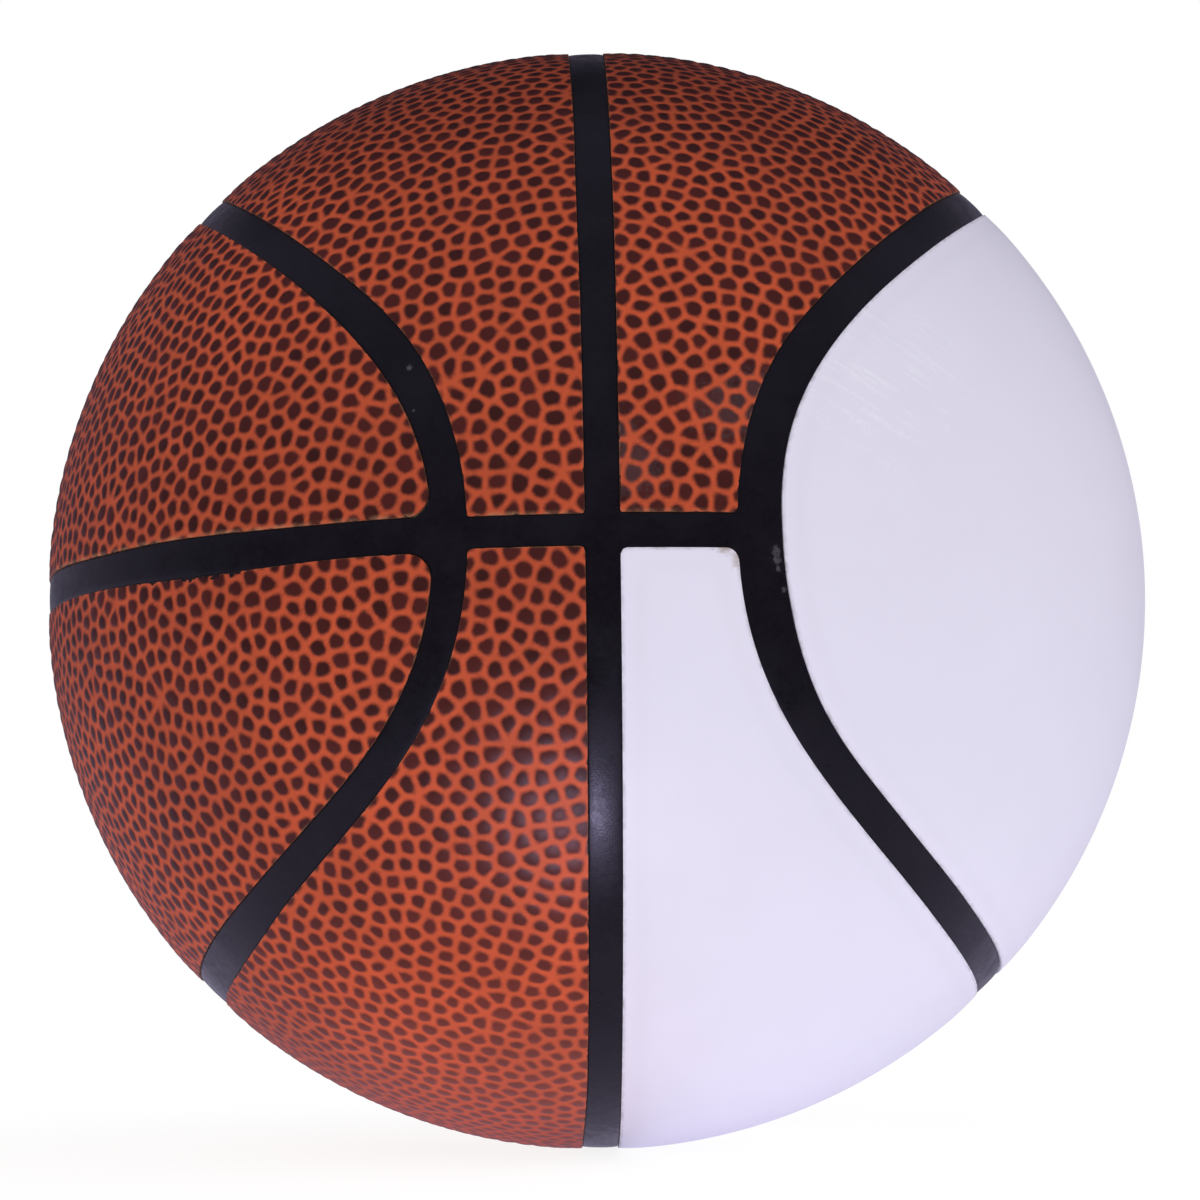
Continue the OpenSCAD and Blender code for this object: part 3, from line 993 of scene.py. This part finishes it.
def smooth_material(colours):
    """White cover: smooth coated leather with a faint grain, a patch of fine creases, a faint strip of painted shade
    along the rolled margin, a grey edge and soiled corners."""
    material, tree, shader = new_material("smooth_cover", specular_ior_level=MATT)
    rim = named_value(tree, "rim")
    slow = use_group(tree, mottle, Size=14.0, Strength=1.0)
    face = mixed(tree, swing(tree, slow), shade(colours.white, 0.985), shade(colours.white, 1.01))
    creased = at_place(tree, creases, CREASED)
    # Painted shade: a faint darker strip along the rolled margin, where it bends down
    roll = times(tree, ramp(tree, rim, 0.0008, 0.0034), ramp(tree, rim, 0.0034, 0.0060, 1.0, 0.0))
    grey = times(tree, ramp(tree, rim, 0.0, 0.0009, 1.0, 0.0), swing(tree, noise(tree, 500.0), 0.1, 0.5))
    soil = use_group(tree, rim_wear, Distance=rim, Width=0.0006, Breaks=0.5)
    face = painted(
        tree,
        face,
        (times(tree, creased, 0.12), CREASE),
        (times(tree, roll, 0.045), shade(colours.white, 0.6)),
        (grey, shade(colours.white, 0.45)),
        (times(tree, soil, 0.5), SOIL),
        (times(tree, marked(tree, SOILED), ramp(tree, rim, 0.0, 0.0022, 0.8, 0.0)), FAINT_SOIL),
    )
    grain = plus(tree, use_group(tree, skin_grain, Size=1800.0, Cells=0.3), times(tree, creased, 7.0))
    feed(tree, shader, face, swing(tree, slow, 0.46, 0.54), grain, 0.00002, 0.35)
    return material


def rubber_material(name, colour, rough, size, scuffed=()):
    """Black moulded rubber with a satin, cloudy surface and a few pale specks and scuffs."""
    material, tree, shader = new_material(name, specular_ior_level=MATT, specular_tint=RUBBER_TINT)
    slow, fine = [use_group(tree, mottle, Size=lumps, Strength=1.0) for lumps in (size, size * 5)]
    face = mixed(tree, swing(tree, slow), shade(colour, 0.8), shade(colour, 1.25))
    roughness = plus(tree, swing(tree, slow, rough - 0.06, rough + 0.06), swing(tree, fine, -0.05, 0.05))
    if scuffed:
        face = mixed(tree, times(tree, marked(tree, scuffed), 0.6), face, SCUFF)
    grain = use_group(tree, skin_grain, Size=2600.0, Cells=0.2)
    feed(tree, shader, face, roughness, grain, 0.00004, 0.6)
    return material


def cloth_material(name, colour, size):
    """Plain weave of two wave patterns at right angles, on Object coordinates."""
    material, tree, shader = new_material(name, specular_ior_level=MATT)
    links = {"Vector": object_place(tree), "Scale": size / 20, "Distortion": 0.6}
    across, along = [add(tree, "ShaderNodeTexWave", links, bands_direction=axis) for axis in ("X", "Z")]
    weave = times(tree, across.outputs["Fac"], along.outputs["Fac"])
    feed(tree, shader, mixed(tree, weave, shade(colour, 0.6), colour), 0.85, weave, 0.0001, 0.6)
    return material


# ---- Pieces ----


PANELS = {
    "cover_band_upper_left": ("band", LEFT, UPPER, "cover_brown"),
    "cover_band_upper_right": ("band", RIGHT, UPPER, "cover_brown"),
    "cover_band_lower_left": ("band", LEFT, LOWER, "cover_brown"),
    "cover_band_lower_right": ("band", RIGHT, LOWER, "cover_white"),
    "cover_oval_left_upper": ("half", LEFT, UPPER, "cover_brown"),
    "cover_oval_left_lower": ("half", LEFT, LOWER, "cover_brown"),
    "cover_oval_right": ("oval", RIGHT, UPPER, "cover_white"),
}
GRIDS = {
    ("band", "cover_brown"): (136, 680),
    ("band", "cover_white"): (88, 440),
    ("half", "cover_brown"): (480, 192),
    ("oval", "cover_white"): (280, 240),
}
SKIP = 8  # Steps of the top's grid in one step of the underside's
NET_START, DOME_WIDTH = 0.4, 3.0  # Where a dome starts and how wide its slope is, in widths of the net
EDGE_RELIEF, EDGE_FADE = 0.45, 0.0025  # Share of the relief at a panel's edge, and where it is whole
TONE_SPREAD = 0.28  # Spread of the pebbles' own tones
RIM_BULGE, RIM_STEP = 0.00004, 0.00014  # How far the cut edge stands out, and how low its first ring lies
RIM_RELIEF = 0.3  # Share of the relief by which that ring lies lower still
SHARP_SKIN, SHARP_RIBS, NEVER_SHARP = 55, 50, 180  # Degrees between two faces from which an edge is drawn sharp
VALVE_PANEL = "cover_band_upper_left"
VALVE_AXIS = np.array([-0.163176, 0.925417, 0.34202])
VALVE_HOLE = 0.00415  # Radius of the hole for the valve's neck
VALVE_RIM = 0.0003  # Points this close to the hole's rim move onto it
VALVE_GAP = 0.00001  # How far the sunk points stay within the hole's radius
VALVE_UNDER = 0.0011  # Underside this close round the hole is left out


def valve_well(points, top, shape):
    """Sinks the skin where the valve's neck comes through.

    Points within the hole move to the bottom of the skin and out to its wall, and points close to its rim move onto
    the rim, so that the hole's edge is round. The sunk points are marked in a mask.
    """
    reach = points * shape.crown
    along = reach @ VALVE_AXIS
    spread = reach - along[..., None] * VALVE_AXIS
    far = np.linalg.norm(spread, axis=-1)
    near = (along > 0) & (far < 2 * VALVE_HOLE)
    within = VALVE_HOLE - VALVE_RIM
    moved = np.where(far < within, far * (VALVE_HOLE - VALVE_GAP) / within, far)
    moved = np.where(np.abs(far - VALVE_HOLE) <= VALVE_RIM, VALVE_HOLE, moved)
    pushed = reach + spread * ((moved / np.maximum(far, 1e-9)) - 1)[..., None]
    points = np.where(near[..., None], unit(pushed), points)
    sunk = near & (far < within)
    return points, np.where(sunk, shape.crown - shape.skin, top), sunk


def open_loop(faces, total):
    """The directed edges round a patch of quads: those whose opposite edge isn't in the patch."""
    edges = np.stack([faces, np.roll(faces, -1, 1)], -1).reshape(-1, 2)
    return edges[~np.isin(edges[:, 0] * total + edges[:, 1], edges[:, 1] * total + edges[:, 0])]


def about_valve(points):
    """Angle of each point about the valve's axis."""
    first = unit(np.cross(VALVE_AXIS, [0, 0, 1]))
    return np.arctan2(points @ np.cross(VALVE_AXIS, first), points @ first)


def facing(points, loop, angle):
    """The point of a loop that lies at each angle: the one between the middles of its two edges."""
    start, end = loop.T
    rising = np.sum(np.cross(points[start], points[end]) @ VALVE_AXIS) > 0
    middle = about_valve(points[start] + points[end])
    order = np.argsort(middle)
    return (start if rising else end)[order][np.searchsorted(middle[order], angle) % len(order)]


def bored(points, quads, triangles, values, sunk, base):
    """Opens the hole for the valve's neck right through a panel.

    The sunk faces of the top and the faces of the underside near the axis are left out. The sunk points that stay in
    use go to the wall: the hole's radius from the axis, at the base radius from the ball's centre. Triangles join the
    two open loops: each edge of one takes the point of the other that lies at its angle. Unused points are dropped.
    """
    top, under = quads[0], quads[-1]
    along = points @ VALVE_AXIS
    spread = points - along[:, None] * VALVE_AXIS
    far = np.linalg.norm(spread, axis=-1)
    low = sunk.ravel()[top].all(1)
    close = ((far < VALVE_HOLE + VALVE_UNDER) & (along > 0))[under].any(1)
    loops = [open_loop(top[low], len(points)), open_loop(under[close], len(points))]
    quads = [top[~low], *quads[1:-1], under[~close]]
    wall = np.flatnonzero(sunk.ravel())
    level = math.sqrt(base**2 - VALVE_HOLE**2)
    points[wall] = level * VALVE_AXIS + spread[wall] * (VALVE_HOLE / far[wall])[:, None]
    for one, other in (loops, loops[::-1]):
        angle = about_valve(points[one[:, 0]] + points[one[:, 1]])
        triangles = np.vstack([triangles, np.column_stack([one, facing(points, other, angle)])])
    used = np.zeros(len(points), bool)
    used[np.concatenate([np.vstack(quads).ravel(), triangles.ravel()])] = True
    number = np.cumsum(used) - 1
    values = {key: v[used[: len(v)]] for key, v in values.items()}
    return points[used], [number[q] for q in quads], number[triangles], values


OUTLINES = {"band": band_sides, "half": half_oval_sides, "oval": oval_sides}


def cover_panel(name, scene, centres):
    """Makes one cover panel.

    Its top radius is the crown, less the margin's drop at each edge, which falls off as the square of the distance
    left to the roll's width, less the depth of the net between the pebbles.
    """
    shape, grain = scene.ball_shape, scene.ball_grain
    form, side, level, slot = PANELS[name]
    grid = patch(OUTLINES[form](side, level, shape), GRIDS[form, slot], form != "band")
    distances = edge_distances(grid, side, level, form, shape)
    rim = np.maximum(np.min(distances, 0), 0)
    drops = [shape.drop * np.clip(1 - d / shape.roll, 0, 1) ** 2 for d in distances]
    top = shape.crown - np.sum(np.power(drops, 4), 0) ** 0.25
    grid = grid * np.array([side, 1, level])
    border = distances[-1] if form != "oval" and level == UPPER else np.ones_like(rim)
    values = {"rim": rim.ravel(), "border": border.ravel()}
    if slot == "cover_brown":
        sheet = turned(centres, list(PANELS).index(name))
        found = pebble_field(grid.reshape(-1, 3) * shape.crown, sheet, grain)
        field, nearest = [numbers.reshape(rim.shape) for numbers in found]
        dome = 1 - (1 - np.clip((field - NET_START * grain.net) / (DOME_WIDTH * grain.net), 0, 1)) ** 2
        fade = EDGE_RELIEF + (1 - EDGE_RELIEF) * step(0, EDGE_FADE, rim)
        top = top - grain.relief * fade * (1 - dome)
        tone = np.random.default_rng(grain.seed + 1).normal(0, TONE_SPREAD, len(centres) + 1)
        values |= {"pebble": field.ravel(), "tone": tone[nearest].ravel()}
    if name == VALVE_PANEL:
        grid, top, sunk = valve_well(grid, top, shape)
    edge, base = shape.crown - shape.drop - RIM_STEP - RIM_RELIEF * grain.relief, shape.crown - shape.skin
    lower = [(RIM_BULGE / shape.crown, radius) for radius in (edge, base)]
    points, quads, triangles = closed_sheet(grid, top, lower, SKIP)
    if name == VALVE_PANEL:
        points, quads, triangles, values = bored(points, quads, triangles, values, sunk, base)
    quads, triangles = outward_faces(points, quads, triangles)
    return make_mesh(name + "_skin", points, quads, triangles, values, SHARP_SKIN)


def cube_ball(count, radius):
    """Closed ball of six square grids, each point pushed out to the radius, with equal angles between the lines. All
    its quads face outwards."""
    a = np.tan(np.linspace(-math.pi / 4, math.pi / 4, count + 1))
    u, v = np.meshgrid(a, a, indexing="ij")
    one = np.ones_like(u)
    faces = [(one, u, v), (-one, v, u), (v, one, u), (u, -one, v), (u, v, one), (v, u, -one)]
    points = unit(np.stack([np.stack(f, -1).reshape(-1, 3) for f in faces]).reshape(-1, 3))
    quads = np.vstack([grid_faces(count, count, k * (count + 1) ** 2) for k in range(6)])
    _, first, back = np.unique(np.round(points, 7), axis=0, return_index=True, return_inverse=True)
    points, quads = points[first] * radius, back.reshape(-1)[quads]
    inward = points_inward(points, quads)
    quads[inward] = quads[inward][:, ::-1]
    return points, quads


RIB_CROWN = [(0.13, 0.00001), (0.4, -0.00001), (0.66, -0.00005), (0.87, -0.00012), (0.96, -0.00018)]
RIB_CROWN += [(1.0, -0.00027), (1.0, -0.00045)]
# Points round a rib: share of its half width, one if it lies at the base, and height over the ribs' radius
RIB_PROFILE = [(-1.0, 1, 0.0), *[(-share, 0, lift) for share, lift in RIB_CROWN[::-1]]]
RIB_PROFILE += [*[(share, 0, lift) for share, lift in RIB_CROWN], (1.0, 1, 0.0)]
RIB_ROOT = 0.0003  # How deep a rib reaches into the bed
RIB_UNDER = 0.00002  # How far a rib's side stays back from the panel's edge
ARC_STEP = 0.005  # Radians between two points of the level rib
WIDEN = 0.02  # Radians on both sides of the loop over which the level rib takes up its other width
CROWN_COLUMN = 6  # A column of the profile on a rib's crown, which tells whether its faces point outwards
BALL_STEPS, CAVITY_STEPS = 72, 36  # Squares along a side of the cube that each ball of the carcass comes from


def rib_solid(line, outward, low, high, shape, closed):
    """Rib of the carcass: a profile carried along a line on the ball.

    The profile's share runs from the low width on one side to the high width on the other, and the line's point is
    turned towards its outward side by that width over the crown radius.
    """
    share, base, lift = np.array(RIB_PROFILE).T
    width = np.where(share < 0, share * low[:, None], share * high[:, None]) / shape.crown
    radius = np.where(base > 0, shape.bed - RIB_ROOT, shape.rib + lift)
    points = line[:, None] * np.cos(width)[..., None] + outward[:, None] * np.sin(width)[..., None]
    points = points * radius[None, :, None]
    rows, columns = points.shape[:2]
    index = grid_index(rows - 1, columns - 1)
    ahead = np.roll(index, -1, 0)
    quads = np.stack([index, ahead, np.roll(ahead, -1, 1), np.roll(index, -1, 1)], -1)
    quads = quads[: rows if closed else rows - 1].reshape(-1, 4)
    fans = np.empty((0, 3), int)
    if not closed:
        k = np.arange(1, columns - 1)
        start = np.stack([np.zeros_like(k), k, k + 1], -1)
        fans = np.vstack([start, (start + (rows - 1) * columns)[:, ::-1]])
    flat = points.reshape(-1, 3)
    if points_inward(flat, quads)[columns * (len(quads) // columns // 2) + CROWN_COLUMN]:
        quads, fans = quads[:, ::-1], fans[:, ::-1]
    return flat, quads, fans


def fillet(distance, radius):
    """Extra width of a rib beside a rounded panel corner: the gap between a quarter circle and its tangent, and a
    tenth more, which lies under the corner."""
    t = np.clip(distance, 0, radius)
    return 1.1 * (radius - np.sqrt(np.maximum(radius**2 - (radius - t) ** 2, 0)))


def close_steps(first, last, marks, wide, fine, span):
    """Parameter values from first to last with wide steps, and fine ones within the span of each mark."""
    values = np.concatenate([np.arange(first, last, wide)] + [np.arange(m - span, m + span, fine) for m in marks])
    values = np.unique(np.round(values, 6))
    return values[(values >= first) & (values < last)]


def carcass_ribs(shape):
    """The ribs of the carcass: the upright ring, the level arc and the two loops, each as points, quads and fans."""
    made = []
    turns = close_steps(-math.pi, math.pi, (0.0, math.pi, -math.pi), wide=0.009, fine=0.002, span=0.08)

    def extra(level_edges, radii):
        """Width that the fillets beside the level channel add, from its upper and lower edge and corner radius."""
        above = height > 0
        edges, radius = [np.where(above, pair[0], pair[1]) for pair in (level_edges, radii)]
        return fillet(np.abs(height) - edges, radius)

    def beside_band(side, which):
        """Width that the corners of the band panels on a side add, beside the upright channel or the loop."""
        edges = [LEVEL_BAND_EDGE[side, level] for level in (UPPER, LOWER)]
        return extra(edges, [BAND_CORNERS[side, level][which] for level in (UPPER, LOWER)]) - RIB_UNDER

    line = upright_line(0.0, turns)
    height = shape.crown * np.arcsin(line[:, 2])
    outward = np.tile([1.0, 0.0, 0.0], (len(turns), 1))
    low, high = [edge_at(UPRIGHT_EDGE[side], turns) + beside_band(side, 0) for side in (LEFT, RIGHT)]
    made.append(rib_solid(line, outward, low, high, shape, True))
    line, outward = loop_outward(turns, shape)
    height = shape.crown * np.arcsin(line[:, 2])
    for side in (LEFT, RIGHT):
        low = edge_at(OVAL_EDGE[side], turns) - RIB_UNDER
        if side == LEFT:
            edges = [edge_at(LEVEL_OVAL_EDGE[level], shape.near + 0 * turns) for level in (UPPER, LOWER)]
            low = low + extra(edges, [shape.oval_corner, shape.oval_corner])
        high = edge_at(BAND_EDGE[side], turns) + beside_band(side, 1)
        mirror = np.array([side, 1, 1])
        made.append(rib_solid(line * mirror, outward * mirror, low, high, shape, True))
    around = np.arange(-shape.near, math.pi + shape.near, ARC_STEP)
    line = np.stack([-np.sin(around), -np.cos(around), 0 * around], -1)
    outward = np.tile([0.0, 0.0, 1.0], (len(around), 1))
    side = np.where(line[:, 0] < 0, LEFT, RIGHT)
    share = step(shape.near - WIDEN, shape.near + WIDEN, np.arcsin(np.abs(line[:, 0]))) * (side == LEFT)

    def level_width(level):
        """Half width of the level channel: between the band panels, and between the half ovals beyond the loop."""
        inner = np.where(side == LEFT, LEVEL_BAND_EDGE[LEFT, level], LEVEL_BAND_EDGE[RIGHT, level])
        return inner + (edge_at(LEVEL_OVAL_EDGE[level], around) - inner) * share - RIB_UNDER

    made.append(rib_solid(line, outward, level_width(LOWER), level_width(UPPER), shape, False))
    return made


def carcass_piece(scene):
    """Makes the carcass: a hollow ball with its beds' radius and the ribs standing on it."""
    shape = scene.ball_shape
    outer, outer_quads = cube_ball(BALL_STEPS, shape.bed)
    inner, inner_quads = cube_ball(CAVITY_STEPS, shape.inside)
    points, quads, fans = [outer, inner], [outer_quads, inner_quads[:, ::-1] + len(outer)], []
    count = len(outer) + len(inner)
    for flat, rib_quads, rib_fans in carcass_ribs(shape):
        points.append(flat)
        quads.append(rib_quads + count)
        fans.append(rib_fans + count)
        count += len(flat)
    return make_mesh("carcass_rubber", np.vstack(points), quads, np.vstack(fans), {}, SHARP_RIBS)


def make_panels(scene, slot, material, centres):
    """Makes the cover panels of one finish."""
    for name, panel in PANELS.items():
        if panel[-1] == slot:
            place(cover_panel(name, scene, centres), material, name, slot)


class BALL_OT_brown_panels(bpy.types.Operator):
    """Makes the five brown pebbled cover panels"""

    bl_idname = "ball.brown_panels"
    bl_label = "Brown panels"

    def execute(self, context):
        scene = context.scene
        centres = pebble_centres(scene.ball_grain, scene.ball_shape.crown)
        make_panels(scene, "cover_brown", pebbled_material(scene.ball_colours), centres)
        return {"FINISHED"}


class BALL_OT_white_panels(bpy.types.Operator):
    """Makes the two white smooth cover panels"""

    bl_idname = "ball.white_panels"
    bl_label = "White panels"

    def execute(self, context):
        make_panels(context.scene, "cover_white", smooth_material(context.scene.ball_colours), None)
        return {"FINISHED"}


class BALL_OT_carcass(bpy.types.Operator):
    """Makes the rubber carcass with the ribs that show as black channels"""

    bl_idname = "ball.carcass"
    bl_label = "Carcass"

    def execute(self, context):
        scene = context.scene
        material = rubber_material("channel_rubber", scene.ball_colours.rubber, 0.33, 120.0, SPECKS + SCUFFS)
        place(carcass_piece(scene), material, "carcass", "channel_rubber")
        return {"FINISHED"}


class BALL_OT_inner_finishes(bpy.types.Operator):
    """Gives the bladder, the thread winding, the backing sheets and the valve their materials"""

    bl_idname = "ball.inner_finishes"
    bl_label = "Inner finishes"

    def execute(self, context):
        colours = context.scene.ball_colours
        finishes = {
            "bladder": rubber_material("bladder_rubber", (0.013, 0.013, 0.015), 0.55, 40.0),
            "valve_housing": rubber_material("valve_rubber", colours.rubber, 0.45, 200.0),
            "valve_plug": rubber_material("plug_rubber", (0.030, 0.030, 0.033), 0.6, 400.0),
            "thread_winding": cloth_material("wound_thread", (0.72, 0.70, 0.62), 900.0),
        }
        backing = cloth_material("backing_cloth", (0.55, 0.47, 0.36), 1500.0)
        for name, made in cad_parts.items():
            material = backing if name.startswith("backing") else finishes.get(name)
            if material:
                made.data.materials.clear()
                made.data.materials.append(material)
        return {"FINISHED"}


# ---- Stage ----


WHITE = (1, 1, 1)
GLINTING = (0, -0.10, -0.05)  # Place on the ball that the two low lamps face
FLOOR_HALF, FLOOR_STEPS = 3.0, 8  # Half of the floor's side, and squares along it
FLOOR_PAINT = (0.97, 0.97, 0.97, 1)
FLOOR_SEEN = 1.09  # Strength at which the camera sees the floor
FLOOR_GLOW = 0.8  # Share of this glow in what the camera sees of the floor; the rest shows the shadow
FLOOR_MIRRORED = 0.7  # Strength at which the floor behind the ball is mirrored
SENSOR_WIDTH, SHIFT = 36.0, (0.003, 0.0007)


class BALL_OT_stage(bpy.types.Operator):
    """Makes the pale floor, the soft light and the camera"""

    bl_idname = "ball.stage"
    bl_label = "Stage"

    def execute(self, context):
        scene, stage = context.scene, context.scene.ball_stage
        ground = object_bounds()[0].z
        make_floor(ground, stage)
        make_world(scene, stage)
        make_camera(scene, stage)
        for name, where, toward, size, power, colour, unlit in (
            ("table_lamp", (0, 0, 0.00012), (0, 0, 1), 1.6, stage.table, WHITE, "visible_glossy"),
            ("glint_lamp", (-0.012, -0.158, 0.004), GLINTING, 0.032, stage.glint, GLOSS_TINT, "visible_diffuse"),
            ("sheen_lamp", (0, -0.15, 0.002), GLINTING, 0.14, stage.sheen, GLOSS_TINT, "visible_diffuse"),
        ):
            lamp = add_lamp(name, Vector(where) + Vector((0, 0, ground)), Vector(toward), size, power, colour)
            setattr(lamp, unlit, False)
        scene.view_settings.view_transform = "Standard"
        return {"FINISHED"}


def make_floor(height, stage):
    """Pale floor: a flat grid of squares. The camera sees it close to white with the ball's shadow on it, and through
    it from below. Glossy rays see it white behind the ball and dim on the near side."""
    a = np.linspace(-FLOOR_HALF, FLOOR_HALF, FLOOR_STEPS + 1)
    x, y = np.meshgrid(a, a, indexing="ij")
    points = np.stack([x, y, np.full_like(x, height)], -1).reshape(-1, 3)
    squares = [grid_faces(FLOOR_STEPS, FLOOR_STEPS)]
    floor = make_mesh("floor", points, squares, np.empty((0, 3), int), {}, NEVER_SHARP)
    material, tree, shader = new_material("floor_paint", roughness=1.0, specular_ior_level=0.0)
    shader.inputs["Base Color"].default_value = FLOOR_PAINT
    seen, mirror = seen_and_mirrored(tree)
    back = add(tree, "ShaderNodeSeparateXYZ", {"Vector": object_place(tree)}).outputs["Y"]
    mirrored = ramp(tree, back, -0.32, -0.12, stage.near_side, FLOOR_MIRRORED)
    strength = blend(tree, mirror, FLOOR_SEEN, mirrored)
    tint = mixed(tree, mirror, WHITE, GLOSS_TINT)
    glow = add(tree, "ShaderNodeEmission", {"Color": tint, "Strength": strength})
    share = calc(tree, "MAXIMUM", mirror, times(tree, seen, FLOOR_GLOW))
    both = add(tree, "ShaderNodeMixShader", {0: share, 1: shader.outputs[0], 2: glow.outputs[0]})
    under = add(tree, "ShaderNodeNewGeometry").outputs["Backfacing"]
    clear = add(tree, "ShaderNodeBsdfTransparent")
    through = times(tree, under, seen)
    top = add(tree, "ShaderNodeMixShader", {0: through, 1: both.outputs[0], 2: clear.outputs[0]})
    tree.links.new(top.outputs[0], tree.nodes["Material Output"].inputs["Surface"])
    floor.data.materials.append(material)
    floor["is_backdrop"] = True


def seen_and_mirrored(tree):
    """Two masks: rays from the camera, straight or through glass, and rays mirrored by a glossy surface."""
    path = add(tree, "ShaderNodeLightPath")
    seen = calc(tree, "MAXIMUM", path.outputs["Is Camera Ray"], path.outputs["Is Transmission Ray"])
    return seen, path.outputs["Is Glossy Ray"]


def make_world(scene, stage):
    """White surround. The camera sees it at full strength. Glossy rays see a white backdrop behind the ball and a dim
    room elsewhere. It lights at the fill strength, less overhead."""
    world = bpy.data.worlds.new("surround")
    world.use_nodes = True
    scene.world = world
    tree = world.node_tree
    seen, mirror = seen_and_mirrored(tree)
    toward = add(tree, "ShaderNodeTexCoord").outputs["Generated"]
    axes = add(tree, "ShaderNodeSeparateXYZ", {"Vector": toward}).outputs
    above = ramp(tree, axes["Z"], 0.0, 0.7, 0.0, stage.side)
    above = times(tree, above, ramp(tree, axes["Y"], 0.1, 0.65, 1.0, 0.0))
    beside = ramp(tree, axes["Y"], -0.3, 0.65, stage.near_side, stage.side)
    beside = times(tree, beside, ramp(tree, axes["Z"], 0.3, 0.8, 1.0, 0.0))
    behind = ramp(tree, axes["Y"], 0.93, 1.0, 0.0, 1.0 - stage.side)
    mirrored = plus(tree, plus(tree, above, beside), behind)
    upper_back = times(tree, ramp(tree, axes["Z"], 0.1, 0.75), ramp(tree, axes["Y"], -0.5, 0.3))
    fill = ramp(tree, upper_back, 0.0, 1.0, stage.fill, stage.fill * stage.overhead, False)
    strength = blend(tree, seen, blend(tree, mirror, fill, mirrored), 1.0)
    glow = tree.nodes["Background"]
    tree.links.new(mixed(tree, mirror, WHITE, GLOSS_TINT), glow.inputs["Color"])
    tree.links.new(strength, glow.inputs["Strength"])


def make_camera(scene, stage):
    """Camera on the photograph's line of sight: turned by the azimuth, the elevation and the roll about the ball."""
    turn = Matrix.Rotation(stage.azimuth, 3, "Z") @ Matrix.Rotation(-stage.elevation, 3, "X")
    turn = turn @ Matrix.Rotation(stage.roll, 3, "Y")
    data = bpy.data.cameras.new("camera")
    data.lens = stage.lens
    data.sensor_width = SENSOR_WIDTH
    data.shift_x, data.shift_y = SHIFT
    camera = linked("camera", data)
    axes = turn @ Matrix(((1, 0, 0), (0, 0, -1), (0, 1, 0)))
    camera.matrix_world = Matrix.Translation(turn @ Vector((0, -stage.distance, 0))) @ axes.to_4x4()
    scene.camera = camera


def add_lamp(name, where, toward, size, power, colour):
    """Round soft lamp at a place, facing another place, unseen by the camera."""
    data = bpy.data.lights.new(name, "AREA")
    data.shape = "DISK"
    data.size = size
    data.energy = power
    data.color = colour
    lamp = linked(name, data)
    lamp.location = where
    lamp.rotation_euler = (toward - where).to_track_quat("-Z", "Y").to_euler()
    lamp.visible_camera = False
    return lamp


OPERATORS = (
    BALL_OT_brown_panels,
    BALL_OT_white_panels,
    BALL_OT_carcass,
    BALL_OT_inner_finishes,
    BALL_OT_stage,
)


class BALL_PT_sidebar(bpy.types.Panel):
    """Lists the pieces of the ball in the sidebar"""

    bl_idname = "BALL_PT_sidebar"
    bl_label = "Basketball"
    bl_space_type = "VIEW_3D"
    bl_region_type = "UI"
    bl_category = "Basketball"

    def draw(self, context):
        """Shows a button for each operator and a box for each group of settings."""
        for operator in OPERATORS:
            self.layout.operator(operator.bl_idname)
        for name, group in SETTINGS.items():
            box = self.layout.box()
            for key in group.__annotations__:
                box.prop(getattr(context.scene, name), key)


def register():
    """Adds the classes and the scene's settings."""
    for group in (*SETTINGS.values(), *OPERATORS, BALL_PT_sidebar):
        bpy.utils.register_class(group)
    for name, group in SETTINGS.items():
        setattr(bpy.types.Scene, name, PointerProperty(type=group))


def unregister():
    """Takes away what register added."""
    for name in SETTINGS:
        delattr(bpy.types.Scene, name)
    for group in (BALL_PT_sidebar, *reversed(OPERATORS), *SETTINGS.values()):
        bpy.utils.unregister_class(group)


def main():
    """Builds everything in order."""
    register()
    for operator in OPERATORS:
        space, name = operator.bl_idname.split(".")
        getattr(getattr(bpy.ops, space), name)()


if __name__ == "__main__":
    main()
